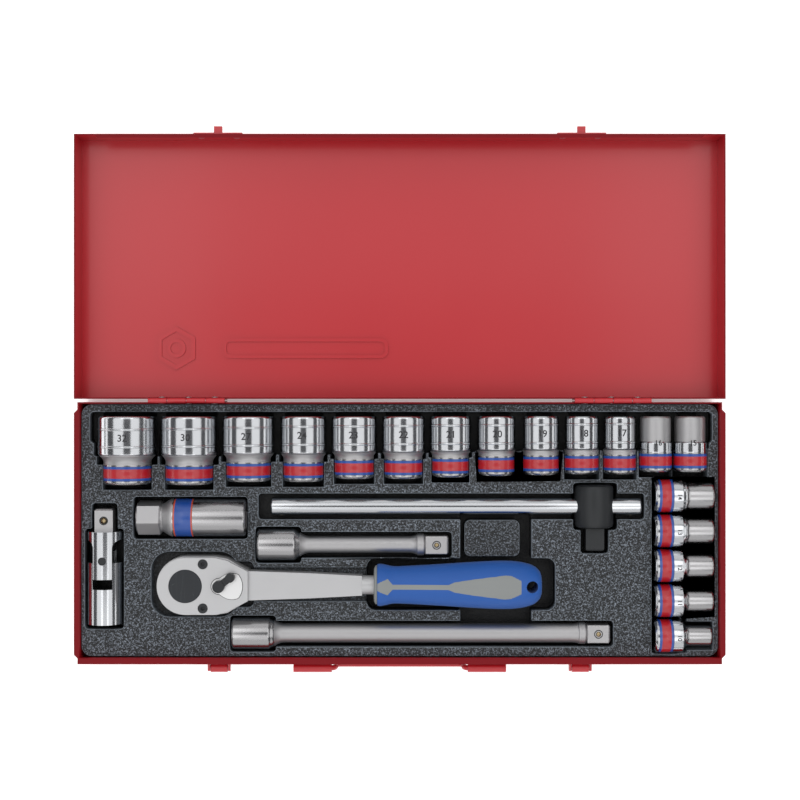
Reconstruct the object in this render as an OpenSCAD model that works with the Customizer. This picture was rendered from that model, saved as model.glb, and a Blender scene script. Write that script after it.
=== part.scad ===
// Half-inch-drive socket wrench set in a sheet-steel case, lid swung open flat.
// The origin is the centre of the case's underside; X runs along the case, Y towards the hinge, Z up.

/* [Case] */
// Width of the case over its side hems
case_w = 440; // [438:1:540]
// Depth of the base, front wall to back wall
base_d = 177; // [176:1:220]
// Height of the base up to its rim
base_h = 30; // [30:0.5:40]
// Height of the lid
lid_h = 22; // [20:0.5:35]
// How far the lid's front wall stands out past the base
lid_lip = 2; // [1:0.5:3]
// Thickness of the sheet steel
steel = 1; // [0.8:0.1:1.4]
// How far the side hems are folded out
hem_out = 2.4; // [2:0.1:3]
// Height of the folded hems
hem_h = 6; // [4:0.5:10]
// Width of the base's folded-in front rim
front_rim = 4; // [2:0.5:5]

/* [Hinges, latches and handle] */
// Distance of each hinge from the case's centre line
hinge_x = 144; // [100:1:170]
// Length of one hinge knuckle
knuckle_l = 13; // [9:0.5:16]
// Radius of the hinge barrel
barrel_r = 1.7; // [1.5:0.1:2]
// Radius of the hinge pin
hinge_pin_r = 0.8; // [0.6:0.1:1]
// Height of a hinge leaf below the axis
leaf_h = 14; // [10:1:18]
// Thickness of the hinge leaves
leaf_t = 0.8; // [0.6:0.1:0.9]
// Distance of each latch from the centre line
latch_x = 123; // [90:1:150]
// Width of a latch lever
latch_w = 11.6; // [10:0.2:16]
// Width of a latch's backing plate
latch_plate_w = 33; // [28:1:40]
// Height of the latch pivot
latch_z = 20; // [19.5:0.5:21]
// Radius of a latch lever's barrel
latch_r = 3; // [2.5:0.1:3.5]
// Height of the catch tab above the closed rim
catch_rise = 4; // [3.5:0.5:5]
// How far a catch tab stands out
catch_out = 4.6; // [3.5:0.1:5.5]
// Thickness of the riveted plates
plate_t = 1; // [0.8:0.1:1.2]
// Length of the handle's grip bar
bail_w = 88; // [70:1:110]
// Length of each handle bracket
bracket_w = 26; // [20:1:32]
// Height of the handle's pivot
bail_z = 21; // [19:0.5:24]
// Drop from the pivot to the grip bar
bail_drop = 14; // [10:0.5:16]
// Radius of the handle's rod
bail_r = 1.8; // [1.5:0.1:2.2]
// Radius of a rivet's head
rivet_head_r = 2.4; // [2:0.1:3]
// Radius of a rivet's shank
rivet_r = 1.3; // [1:0.1:1.5]

/* [Insert] */
// How far the insert's top lies under the rim
insert_drop = 5; // [4:0.5:6]
// Thickness of the moulded plastic
skin = 1.4; // [1.2:0.1:1.6]
// Room round a tool in its pocket
pocket_gap = 1.4; // [1.2:0.1:2]
// Room under a tool
rest_gap = 0.4; // [0.3:0.1:0.6]
// Gap between the insert and the case walls
insert_gap = 0.6; // [0.4:0.1:1]
// Corner radius of the insert
insert_corner = 7; // [4:0.5:10]
// Corner radius of the pockets
pocket_corner = 2.5; // [1.5:0.5:4]

/* [Drive] */
// Width across flats of the male drive squares
square_af = 12.3; // [12.1:0.1:12.6]
// Width across flats of the female drive squares
socket_square = 12.7; // [12.7:0.1:13.4]
// Length of the male drive squares
square_l = 15.3; // [13:0.1:16]
// Depth of the female drive squares
square_depth = 16; // [16:0.5:18]
// Radius of the detent balls
ball_r = 2.2; // [1.8:0.1:2.6]
// How far a detent ball stands out
ball_out = 0.9; // [0.6:0.1:1]
// Radial clearance of running fits
fit = 0.05; // [0.03:0.01:0.08]

/* [Sockets] */
// Back row: opening, body diameter, drive-end diameter, length, gap to the next
row = [
    [32, 40.6, 32.5, 46, 2], [30, 39.5, 32.3, 46, 2.2], [27, 36.6, 30.2, 44, 2.8],
    [24, 32.3, 27.3, 44, 2.4], [23, 31.9, 26.8, 42, 2.4], [22, 30.2, 26, 42, 2.2],
    [21, 29.1, 25, 41, 3], [20, 27.2, 24.9, 40, 4], [19, 25.4, 24.5, 39.5, 3],
    [18, 24.1, 23.3, 39, 2.4], [17, 22.7, 22.3, 39, 1.9], [16, 21.6, 22.4, 37.5, 1.6],
    [15, 21.6, 22.8, 37.5, 0]
];
// Right column: opening, working-end diameter, drive-end diameter, length
column = [
    [14, 19, 22.6, 39.7], [13, 17.8, 22.5, 39.7], [12, 16.4, 22.4, 39.7],
    [11, 15, 22.4, 39.7], [10, 13.8, 22.4, 38.8]
];
// Left edge of the row, from the centre line
row_left = 205.3; // [203:0.1:206]
// Working ends of the row, from the insert's back edge
row_back = 8; // [6:0.5:10]
// Drive ends of the column, from the insert's right edge
column_in = 43.6; // [42:0.1:50]
// First socket of the column, from the insert's back edge
column_back = 62; // [61:0.5:70]
// Spacing of the column
column_pitch = 23.75; // [23:0.05:24.5]

/* [Spark plug socket] */
// Hexagon opening of the spark plug socket
plug_af = 20.8; // [18:0.1:20.8]
// Diameter of the spark plug socket's body
plug_d = 26; // [26:0.1:27]
// Length of the spark plug socket
plug_l = 74; // [70:1:78]
// Width across flats of its outer hexagon
plug_hex_af = 20.6; // [20:0.1:22]
// Length of its outer hexagon
plug_hex_l = 16.3; // [14:0.1:20]

/* [Universal joint] */
// Diameter of the universal joint
joint_d = 23.8; // [23:0.1:25]
// Length of the universal joint's two yokes together
joint_l = 62.7; // [60:0.1:66]
// Width of the universal joint's centre block
block_w = 10.6; // [10:0.1:11.4]
// Radius of the cross pins
cross_pin_r = 2.7; // [2.2:0.1:2.9]
// Distance between the two cross pins
pin_offset = 7.8; // [7:0.1:9]

/* [Extensions] */
// Length of the short extension
short_l = 129.7; // [108:0.1:134]
// Length of the long extension
long_l = 256.5; // [213:0.1:264]
// Diameter of an extension's head
head_d = 22; // [21:0.1:24]
// Diameter of the short extension's shank
short_shank_d = 11.4; // [10.5:0.1:12.5]
// Diameter of the long extension's shank
long_shank_d = 12.8; // [11:0.1:13.5]
// Diameter of the collar behind the square
collar_d = 15; // [14:0.1:16]
// Length of the collar
collar_l = 6; // [4:0.5:8]

/* [Sliding T-bar] */
// Length of the rod
rod_l = 251.8; // [210:0.1:252]
// Diameter of the rod
rod_d = 11.8; // [11:0.1:12.4]
// Diameter of the T-head
t_head_d = 26.4; // [24:0.1:28]
// Length of the T-head's barrel
t_head_l = 29.4; // [26:0.1:32]

/* [Ratchet] */
// Radius of the ratchet's head
ratchet_r = 19.6; // [19:0.1:20.5]
// Distance from the drive to the grip's collar
shank_reach = 126.6; // [118:0.1:128]
// Length of the grip
grip_l = 113; // [100:1:114]
// Largest diameter of the grip
grip_d = 32.6; // [30:0.1:33]
// Thickness of the head without its cover
head_t = 14.5; // [14:0.1:16]
// Thickness of the cover plate
cover_t = 3; // [2:0.1:3.5]
// Radius of the drive anvil's round back
anvil_r = 11.2; // [10:0.1:11.6]
// Number of teeth on the drive gear
gear_teeth = 36; // [24:1:48]
// Distance from the drive axis to the lever's pivot
lever_x = 22.6; // [21:0.1:23.5]
// Angle of the reversing lever from the handle's line
lever_angle = 38; // [25:1:45]

/* [Layout] */
// Spark plug socket: left end from the centre line
plug_x = -178.4; // [-180:0.1:-174]
// Spark plug socket: axis from the insert's back edge
plug_back = 77; // [76.5:0.1:79]
// Universal joint: axis from the centre line
joint_x = -200.5; // [-202:0.1:-199]
// Universal joint: first cross pin from the insert's back edge
joint_back = 105.7; // [104:0.1:107]
// Short extension: left end from the centre line
short_x = -96.8; // [-100:0.1:-94]
// Short extension: axis from the insert's back edge
short_back = 95.3; // [94.5:0.1:96]
// Long extension: left end from the centre line
long_x = -114; // [-120:0.1:-106]
// Long extension: axis from the insert's back edge
long_back = 155.6; // [154:0.1:156]
// Sliding rod: left end from the centre line
rod_x = -87.6; // [-90:0.1:-86]
// Sliding rod: axis from the insert's back edge
rod_back = 69.2; // [68.5:0.1:70]
// T-head: axis from the centre line
t_head_x = 132.2; // [130:0.1:134]
// Ratchet: drive axis from the centre line
ratchet_x = -144; // [-146:0.1:-143]
// Ratchet: axis from the insert's back edge
ratchet_back = 122; // [121:0.1:123]
// Left edge of the finger trough
trough_left = 41; // [38:0.5:44]
// Right edge of the finger trough
trough_right = 89.5; // [86:0.5:92]
// Lid mark: centre of the hexagon from the centre line
mark_x = -154; // [-160:1:-100]
// Lid mark: distance from the lid's hinge side
mark_back = 35; // [30:1:60]
// Lid mark: length of the plain bar beside the hexagon
mark_bar_l = 114; // [60:1:140]

/* [Hidden] */
$fn = 64;

eps = 0.01;
mark_hex_af = 26;
mark_bar_w = 14;
mark_h = 1;
corner_steps = 6;
red = "firebrick";
// Case planes
side_x = case_w / 2 - hem_out;
back_y = base_d / 2;
front_y = -base_d / 2;
axis_y = back_y + 1.1;
axis_z = base_h + 0.2;
lid_near = 2 * axis_y - back_y;
lid_far = 2 * axis_y - front_y + lid_lip;
lid_floor = base_h - lid_h;
notch_z = axis_z - barrel_r - 0.4;
hinge_w = 4 * knuckle_l;
leaf_gap = 0.3;
// Insert planes
insert_z = base_h - insert_drop;
insert_x = side_x - steel - insert_gap;
insert_back = back_y - steel - insert_gap;
insert_front = front_y + front_rim + insert_gap;
// Heights of the tool axes
socket_z = insert_z - 1.7;
tool_z = insert_z - 4;
ratchet_z = insert_z + 2.5;
// Rows and columns
row_y = insert_back - row_back;
column_x = insert_x - column_in;
column_y = insert_back - column_back;
band_l = 9.8;
band_start = 2.5;
body_share = 0.56;
divider_drop = 10;
neck_t = band_start + band_l + 1.2;
// Spark plug socket, universal joint
plug_y = insert_back - plug_back;
joint_y = insert_back - joint_back;
joint_r = joint_d / 2;
joint_top = joint_y + 19.5;
joint_low = joint_top - joint_l;
lug_gap = 0.2;
// Extensions
short_y = insert_back - short_back;
long_y = insert_back - long_back;
ext_head_l = 26;
ext_neck_l = 7;
// T-bar
rod_y = insert_back - rod_back;
rod_ball_in = 7.2;
// Ratchet
ratchet_y = insert_back - ratchet_back;
head_low = ratchet_z - 9;
head_top = head_low + head_t;
cover_top = head_top + cover_t;
gear_r = 12.6;
gear_low = head_low + 3;
gear_top = head_top - 0.1;
lever_shaft_r = 2.6;
knob_r = 4;
screw_x = 11.8;
screw_y = 14.8;
grip_x = ratchet_x + shank_reach;
head_reach = 42;
tang_r = 4.5;

// Gap before socket i and centre of socket i along the row
function row_before(i) = i == 0 ? 0 : row_before(i - 1) + row[i - 1][1] + row[i - 1][4];
function row_wide(i) = max(row[i][1], row[i][2]);
function row_x(i) = -row_left + row_before(i) + row_wide(i) / 2;
function column_row(i) = column_y - i * column_pitch;

// Points of a rounded rectangle
function arc_points(cx, cy, r, from, to, n) =
    [for (i = [0:n]) let (a = from + (to - from) * i / n) [cx + r * cos(a), cy + r * sin(a)]];
function round_rect(x0, x1, y0, y1, r) = concat(
    arc_points(x1 - r, y1 - r, r, 0, 90, corner_steps),
    arc_points(x0 + r, y1 - r, r, 90, 180, corner_steps),
    arc_points(x0 + r, y0 + r, r, 180, 270, corner_steps),
    arc_points(x1 - r, y0 + r, r, 270, 360, corner_steps));

module along_x() { rotate([0, 90, 0]) children(); }
module along_y() { rotate([-90, 0, 0]) children(); }
module box(x0, x1, y0, y1, z0, z1) { translate([x0, y0, z0]) cube([x1 - x0, y1 - y0, z1 - z0]); }
module hexagon(af, h) { rotate([0, 0, 30]) cylinder(d = af / cos(30), h = h, $fn = 6); }

// ---- Case ----

module rivet_holes_back(y, z0) {
    for (side = [-1, 1], i = [-1:1])
        translate([side * hinge_x + i * 18, y, z0]) along_y() cylinder(r = rivet_r + fit, h = 12,
            center = true);
}
module rivet_holes_front(y, z, x, spread) {
    for (side = [-1, 1], i = [-1, 1])
        translate([side * x + i * spread, y, z]) along_y() cylinder(r = rivet_r + fit, h = 8,
            center = true);
}

base_rivet_z = axis_z - leaf_h + 5;
lid_rivet_z = base_rivet_z;
latch_spread = latch_plate_w / 2 - 4.5;
bracket_x = bail_w / 2 + bail_r + 0.5 + bracket_w / 2;
bracket_spread = bracket_w / 2 - 5;
bracket_rivet_z = bail_z - 8;
catch_z = 2 * axis_z - (base_h + catch_rise);

module side_hem(side) {
    hem_from = front_y + front_rim;
    hem_to = back_y - 5;
    x0 = side_x - eps;
    x1 = case_w / 2;
    mirror([side < 0 ? 1 : 0, 0, 0]) difference() {
        translate([0, 0, base_h - hem_h]) linear_extrude(hem_h)
            polygon([[x0, hem_from], [x1, hem_from + hem_out], [x1, hem_to - hem_out], [x0, hem_to]]);
        box(x0 + eps, x1 - steel, hem_from, hem_to, base_h - hem_h - 1, base_h - steel);
    }
}

module base_shell() {
    color(red) difference() {
        union() {
            difference() {
                box(-side_x, side_x, front_y, back_y, 0, base_h);
                box(-side_x + steel, side_x - steel, front_y + steel, back_y - steel, steel, base_h + 1);
            }
            box(-side_x + steel - eps, side_x - steel + eps, front_y + steel - eps, front_y + front_rim,
                base_h - steel, base_h);
            box(-side_x + steel - eps, side_x - steel + eps, front_y + front_rim - steel,
                front_y + front_rim, base_h - hem_h + 2, base_h - steel + eps);
            side_hem(1);
            side_hem(-1);
        }
        for (side = [-1, 1])
            box(side * hinge_x - hinge_w / 2 - 0.5, side * hinge_x + hinge_w / 2 + 0.5,
                back_y - steel - 1, back_y + 1, notch_z, base_h + 1);
        rivet_holes_back(back_y, base_rivet_z);
        rivet_holes_front(front_y, latch_z, latch_x, latch_spread);
        rivet_holes_front(front_y, bracket_rivet_z, bracket_x, bracket_spread);
    }
}

module emboss(z0, h) {
    mark_y = lid_near + mark_back;
    bar_x = mark_x + mark_hex_af + 6;
    translate([mark_x, mark_y, z0]) difference() {
        hexagon(mark_hex_af, h);
        translate([0, 0, -1]) hexagon(mark_hex_af - 6, h + 2);
    }
    translate([mark_x, mark_y, z0]) difference() {
        cylinder(d = mark_hex_af / 2, h = h);
        translate([0, 0, -1]) cylinder(d = mark_hex_af / 2 - 5, h = h + 2);
    }
    translate([0, mark_y, z0]) linear_extrude(h) difference() {
        polygon(round_rect(bar_x, bar_x + mark_bar_l, -mark_bar_w / 2, mark_bar_w / 2, 5));
        polygon(round_rect(bar_x + 2.5, bar_x + mark_bar_l - 2.5, 2.5 - mark_bar_w / 2,
            mark_bar_w / 2 - 2.5, 3));
    }
}

module lid_shell() {
    hem_x = case_w / 2 - 14;
    color(red) difference() {
        union() {
            difference() {
                box(-case_w / 2, case_w / 2, lid_near, lid_far, lid_floor, base_h);
                box(-case_w / 2 + steel, case_w / 2 - steel, lid_near + steel, lid_far - steel,
                    lid_floor + steel, base_h + 1);
            }
            translate([0, 0, base_h - steel]) linear_extrude(steel)
                polygon([[-hem_x, lid_far - steel + eps], [hem_x, lid_far - steel + eps],
                    [hem_x - 2, lid_far - steel - 1.6], [2 - hem_x, lid_far - steel - 1.6]]);
            emboss(lid_floor + steel - eps, mark_h + eps);
        }
        emboss(lid_floor - 1, 1 + mark_h - 0.2);
        for (side = [-1, 1])
            box(side * hinge_x - hinge_w / 2 - 0.5, side * hinge_x + hinge_w / 2 + 0.5,
                lid_near - 1, lid_near + steel + 1, notch_z, base_h + 1);
        rivet_holes_back(lid_near, lid_rivet_z);
        rivet_holes_front(lid_far, catch_z - 5, latch_x, latch_spread);
    }
}

// One hinge leaf: a plate at y0..y1 with knuckles first, first + 2
module hinge_leaf(y0, first) {
    left = -hinge_w / 2;
    difference() {
        union() {
            box(left, -left, y0, y0 + leaf_t, axis_z - leaf_h, notch_z - 0.2);
            for (i = [first, first + 2]) {
                box(left + i * knuckle_l + 0.2, left + (i + 1) * knuckle_l - 0.2, y0, y0 + leaf_t,
                    notch_z - 0.2 - eps, axis_z);
                translate([left + i * knuckle_l + 0.2, axis_y, axis_z])
                    along_x() cylinder(r = barrel_r, h = knuckle_l - 0.4);
            }
        }
        translate([left - 1, axis_y, axis_z]) along_x() cylinder(r = hinge_pin_r + fit, h = hinge_w + 2);
    }
}
module hinge_leaves_base() {
    color(red) difference() {
        for (side = [-1, 1]) translate([side * hinge_x, 0, 0]) hinge_leaf(axis_y - leaf_gap - leaf_t, 0);
        rivet_holes_back(back_y, base_rivet_z);
    }
}
module hinge_leaves_lid() {
    color(red) difference() {
        for (side = [-1, 1]) translate([side * hinge_x, 0, 0]) hinge_leaf(axis_y + leaf_gap, 1);
        rivet_holes_back(lid_near, lid_rivet_z);
    }
}
module hinge_pins() {
    color("silver") for (side = [-1, 1])
        translate([side * hinge_x - hinge_w / 2 + 0.5, axis_y, axis_z])
            along_x() cylinder(r = hinge_pin_r, h = hinge_w - 1);
}

latch_y = front_y - plate_t - latch_r - 0.1;
lug_w = 1.6;
module latch_plates() {
    color(red) difference() {
        for (side = [-1, 1]) translate([side * latch_x, 0, 0]) {
            box(-latch_plate_w / 2, latch_plate_w / 2, front_y - plate_t, front_y, latch_z - 5,
                latch_z + 5);
            for (end = [-1, 1]) translate([end * (latch_w / 2 + 0.3 + lug_w / 2), 0, 0]) {
                box(-lug_w / 2, lug_w / 2, latch_y, front_y - plate_t + eps, latch_z - 2.4, latch_z + 2.4);
                translate([-lug_w / 2, latch_y, latch_z]) along_x() cylinder(r = 2.4, h = lug_w);
            }
        }
        rivet_holes_front(front_y, latch_z, latch_x, latch_spread);
        for (side = [-1, 1]) translate([side * latch_x - latch_w, latch_y, latch_z])
            along_x() cylinder(r = 1.2 + fit, h = 2 * latch_w);
    }
}
module latch_pins() {
    pin_l = latch_w + 2 * (0.3 + lug_w);
    color("silver") for (side = [-1, 1]) translate([side * latch_x - pin_l / 2, latch_y, latch_z])
        along_x() cylinder(r = 1.2, h = pin_l);
}
// The lever hangs down; swung up by half a turn, its window takes the lid's catch tab.
module latch_lever(side) {
    reach = 2 * axis_z - catch_z - latch_z;
    plate = 1.4;
    tip = 3;
    window = 3.4;
    color(red) translate([side * latch_x, latch_y, latch_z]) difference() {
        union() {
            translate([-latch_w / 2, 0, 0]) along_x() cylinder(r = latch_r, h = latch_w);
            translate([-latch_w / 2, -plate / 2, -reach - tip]) cube([latch_w, plate, reach + tip]);
        }
        translate([-latch_w, 0, 0]) along_x() cylinder(r = 1.2 + fit, h = 2 * latch_w);
        translate([-latch_w / 2 + 2.2, -plate, -reach - window / 2]) cube([latch_w - 4.4, 2 * plate,
            window]);
    }
}
module lid_catches() {
    tab_w = latch_w - 6;
    color(red) difference() {
        for (side = [-1, 1]) translate([side * latch_x, 0, 0]) {
            box(-latch_plate_w / 2, latch_plate_w / 2, lid_far, lid_far + plate_t, catch_z - 9,
                catch_z + 2.5);
            box(-tab_w / 2, tab_w / 2, lid_far + plate_t - eps, lid_far + plate_t + catch_out,
                catch_z - 0.9, catch_z + 0.9);
        }
        rivet_holes_front(lid_far, catch_z - 5, latch_x, latch_spread);
    }
}

bail_y = front_y - plate_t - bail_r - 1.3;
module handle_brackets() {
    color(red) difference() {
        for (side = [-1, 1]) translate([side * bracket_x, 0, 0]) {
            box(-bracket_w / 2, bracket_w / 2, front_y - plate_t, front_y, bail_z - 12, bail_z + 4);
            box(-bracket_w / 2, bracket_w / 2, bail_y, front_y - plate_t + eps, bail_z - 1, bail_z + 1);
            translate([-bracket_w / 2, bail_y, bail_z]) along_x() cylinder(r = bail_r + 1.1,
                h = bracket_w);
        }
        rivet_holes_front(front_y, bracket_rivet_z, bracket_x, bracket_spread);
        for (side = [-1, 1]) translate([side * bracket_x - bracket_w, bail_y, bail_z])
            along_x() cylinder(r = bail_r + fit, h = 2 * bracket_w);
    }
}
module handle_bail() {
    pin_l = bracket_w - 1;
    color(red) {
        union() {
            for (side = [-1, 1]) {
                translate([side * (bail_w / 2 + pin_l / 2), bail_y, bail_z])
                    along_x() cylinder(r = bail_r, h = pin_l, center = true);
                translate([side * bail_w / 2, bail_y, bail_z - bail_drop]) cylinder(r = bail_r,
                    h = bail_drop);
                translate([side * bail_w / 2, bail_y, bail_z]) sphere(r = bail_r);
                translate([side * bail_w / 2, bail_y, bail_z - bail_drop]) sphere(r = bail_r);
            }
            translate([0, bail_y, bail_z - bail_drop]) along_x() cylinder(r = bail_r, h = bail_w,
                center = true);
        }
    }
}

// A rivet through y = 0, head towards -Y
module rivet(grip, head_h = 0.9) {
    translate([0, -head_h, 0]) along_y() union() {
        cylinder(r1 = rivet_head_r - head_h, r2 = rivet_head_r, h = head_h);
        cylinder(r = rivet_r, h = head_h + grip + 0.7);
        translate([0, 0, head_h + grip]) cylinder(r = rivet_head_r - 0.4, h = 0.7);
    }
}
module front_rivets(y, z, x, spread) {
    for (side = [-1, 1], i = [-1, 1]) translate([side * x + i * spread, y, z]) rivet(plate_t + steel);
}
module rivets_base() {
    color("silver") {
        front_rivets(front_y - plate_t, latch_z, latch_x, latch_spread);
        front_rivets(front_y - plate_t, bracket_rivet_z, bracket_x, bracket_spread);
        for (side = [-1, 1], i = [-1:1]) translate([side * hinge_x + i * 18, back_y - steel, base_rivet_z])
            difference() {
                rivet(steel + leaf_t, insert_gap - 0.25);
                box(-5, 5, steel + leaf_t, 5, -5, 5);
            }
    }
}
module rivets_lid() {
    color("silver") {
        for (side = [-1, 1], i = [-1, 1])
            translate([side * latch_x + i * latch_spread, lid_far + plate_t, catch_z - 5])
                mirror([0, 1, 0]) rivet(plate_t + steel);
        for (side = [-1, 1], i = [-1:1]) translate([side * hinge_x + i * 18, lid_near + steel,
            lid_rivet_z])
            difference() {
                mirror([0, 1, 0]) rivet(steel + leaf_t);
                box(-5, 5, -5, -steel - leaf_t, -5, 5);
            }
    }
}

// ---- Insert ----

// A pocket with upright walls, grown outwards and downwards by g
module well(x0, x1, y0, y1, floor, g, r = pocket_corner) {
    top = g > 0 ? insert_z : insert_z + 1;
    translate([0, 0, floor - g]) linear_extrude(top - floor + g)
        polygon(round_rect(x0 - g, x1 + g, y0 - g, y1 + g, r + g));
}
// Half-round trough of radius r about z, upright above it
trough_steps = 14;
module trough_profile(r, z, top) {
    reach = r / cos(90 / trough_steps);
    arc = [for (i = [0:trough_steps - 1]) let (a = 180 + 180 * (i + 0.5) / trough_steps)
        [reach * cos(a), reach * sin(a)]];
    polygon(concat([[-r, top - z]], arc, [[r, top - z]]));
}
module trough_y(x, y0, y1, r, z, g) {
    translate([x, y1 + g, z]) rotate([90, 0, 0]) linear_extrude(y1 - y0 + 2 * g)
        trough_profile(r + g, z, g > 0 ? insert_z : insert_z + 1);
}
module trough_x(x0, x1, y, r, z, g) {
    translate([x0 - g, y, z]) rotate([90, 0, 90]) linear_extrude(x1 - x0 + 2 * g)
        trough_profile(r + g, z, g > 0 ? insert_z : insert_z + 1);
}

module row_pockets(g) {
    last = len(row) - 1;
    left = row_x(0) - row_wide(0) / 2;
    right = row_x(last) + row_wide(last) / 2;
    well(left - 5, right + 3.5, row_y - 18, row_y + 3, socket_z - divider_drop, g);
    for (i = [0:last]) {
        l = row[i][3];
        x = row_x(i);
        neck_y = row_y - l + neck_t - 0.5;
        reach = row_wide(i) / 2 + row[i][4] / 2 + skin;
        well(x - reach, x + reach, row_y - l * body_share - 1.5, row_y + 3,
            socket_z - divider_drop, g, 1.5);
        trough_y(x, neck_y, row_y + 2, row_wide(i) / 2 + rest_gap, socket_z, g);
        trough_y(x, row_y - l - 4, neck_y + eps, row[i][2] / 2 + rest_gap, socket_z, g);
    }
}
module column_pockets(g) {
    for (i = [0:len(column) - 1]) {
        c = column[i];
        shoulder = column_x + 22.5;
        trough_x(column_x - 1.2, shoulder, column_row(i), c[2] / 2 + rest_gap, socket_z, g);
        trough_x(shoulder - 1, column_x + c[3] + 1.2, column_row(i), c[1] / 2 + pocket_gap + 1.5,
            socket_z, g);
    }
    well(column_x - 1.4, column_x + 18, column_row(4) - 12.3, column_row(0) + 12.3, socket_z - 3, g);
}
module tool_pockets(g) {
    floor_of = tool_z - rest_gap;
    gap = pocket_gap;
    // Universal joint: square, then the yokes
    well(joint_x - 8.6, joint_x + 9, joint_top, joint_top + square_l + 4, floor_of - joint_r, g);
    well(joint_x - joint_r - gap, joint_x + joint_r + gap, joint_low - 3.5, joint_top + 2,
        floor_of - joint_r, g);
    // Spark plug socket
    well(plug_x - 2.5, plug_x + plug_l + 1.2, plug_y - plug_d / 2 - gap, plug_y + plug_d / 2 + gap,
        floor_of - plug_d / 2, g);
    // Extensions: head, tapering neck, shank
    for (e = [[short_x, short_y, short_l], [long_x, long_y, long_l]]) {
        well(e[0] - 1.2, e[0] + ext_head_l + 4, e[1] - head_d / 2 - gap, e[1] + head_d / 2 + gap,
            floor_of - head_d / 2, g);
        well(e[0] + ext_head_l, e[0] + e[2] + 2.5, e[1] - collar_d / 2 - gap, e[1] + collar_d / 2 + gap,
            floor_of - head_d / 2 + 3, g);
    }
    // T-bar: rod, head and its square
    well(rod_x - 8.4, rod_x + rod_l + 2, rod_y - rod_d / 2 - 3, rod_y + rod_d / 2 + 3,
        floor_of - rod_d / 2, g);
    well(t_head_x - t_head_d / 2 - gap, t_head_x + t_head_d / 2 + gap + 1, rod_y - t_head_l / 2 - gap,
        rod_y + t_head_l / 2 + gap, floor_of - t_head_d / 2, g);
    well(t_head_x - 9.5, t_head_x + 9.5, rod_y - t_head_l / 2 - square_l - 2, rod_y,
        floor_of - 8, g);
    // Ratchet: head, drive square, shank and grip
    well(ratchet_x - ratchet_r - 5, ratchet_x + 34, ratchet_y - ratchet_r - 2.5,
        ratchet_y + ratchet_r + 2.5,
        head_low - rest_gap, g, 12);
    well(ratchet_x + 14, ratchet_x + head_reach + 3, ratchet_y - 15.5, ratchet_y + 15.5,
        head_low - rest_gap, g, 4);
    translate([ratchet_x, ratchet_y, steel + skin + 0.4 - g])
        cylinder(r = 10.4 + g, h = head_low - steel - skin + g, $fn = 48);
    well(ratchet_x + 14, grip_x + 2, ratchet_y - 11.5, ratchet_y + 11.5, head_low + 2.5, g);
    well(grip_x - 5, grip_x + grip_l + 10, ratchet_y - grip_d / 2 - gap, ratchet_y + grip_d / 2 + gap,
        ratchet_z - grip_d / 2 - rest_gap, g, 6);
    // Finger trough across the middle
    well(trough_left, trough_right, long_y, rod_y, ratchet_z - grip_d / 2 - rest_gap, g, 5);
}
module plateau() {
    top = insert_z - 2.5;
    translate([0, 0, 4]) linear_extrude(top - 4)
        polygon(round_rect(trough_left + 3, trough_right - 8, ratchet_y + grip_d / 2 + 2.5,
            rod_y - rod_d / 2 - 3.5,
            4));
}

module insert_tray() {
    color("dimgray") difference() {
        union() {
            difference() {
                linear_block(0, steel, insert_z);
                linear_block(skin, steel - 1, insert_z - skin);
            }
            row_pockets(skin);
            column_pockets(skin);
            tool_pockets(skin);
        }
        difference() {
            union() {
                row_pockets(0);
                column_pockets(0);
                tool_pockets(0);
            }
            plateau();
        }
    }
}
module linear_block(inset, z0, z1) {
    translate([0, 0, z0]) linear_extrude(z1 - z0) polygon(round_rect(inset - insert_x, insert_x - inset,
        insert_front + inset, insert_back - inset, insert_corner - inset));
}

// ---- Sockets ----

module female_square(depth) {
    translate([0, 0, depth / 2 - 0.5]) cube([socket_square, socket_square, depth + 1], center = true);
}
// A socket about Z: drive end at 0, working end at l
module socket_solid(af, body_d, drive_d, l) {
    shoulder = l * (1 - body_share);
    b = body_d / 2;
    d = drive_d / 2;
    hex_from = max(square_depth - 1, l * 0.45);
    difference() {
        rotate_extrude() polygon([[0, 0], [d - 1.4, 0], [d, 1.6], [d, neck_t], [(b + d) / 2,
            shoulder - 1.5],
            [b, shoulder], [b, l - 0.8], [b - 0.8, l], [0, l]]);
        female_square(hex_from + 1);
        translate([0, 0, hex_from]) hexagon(af, l);
        translate([0, 0, l - 0.7]) cylinder(r1 = af / 2 - 0.1, r2 = af / 2 / cos(30) + 0.1, h = 0.72);
    }
}
// A slim socket: the working end is narrower than the drive end
module slim_socket_solid(af, slim_d, drive_d, l) {
    b = slim_d / 2;
    d = drive_d / 2;
    shoulder = 21;
    difference() {
        rotate_extrude() polygon([[0, 0], [d - 1.4, 0], [d, 1.6], [d, shoulder - 2.5], [b + 0.8,
            shoulder + 1.5],
            [b, shoulder + 3], [b, l - 0.6], [b - 0.6, l], [0, l]]);
        female_square(square_depth);
        translate([0, 0, 4]) cylinder(d = af - 0.6, h = l);
        translate([0, 0, l - af]) hexagon(af, l);
    }
}
module row_socket(i) {
    s = row[i];
    color("silver") translate([row_x(i), row_y - s[3], socket_z]) along_y()
        socket_solid(s[0], s[1], s[2], s[3]);
}
module column_socket(i) {
    s = column[i];
    color("silver") translate([column_x, column_row(i), socket_z]) along_x()
        slim_socket_solid(s[0], s[1], s[2], s[3]);
}

// ---- Spark plug socket ----

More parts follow.
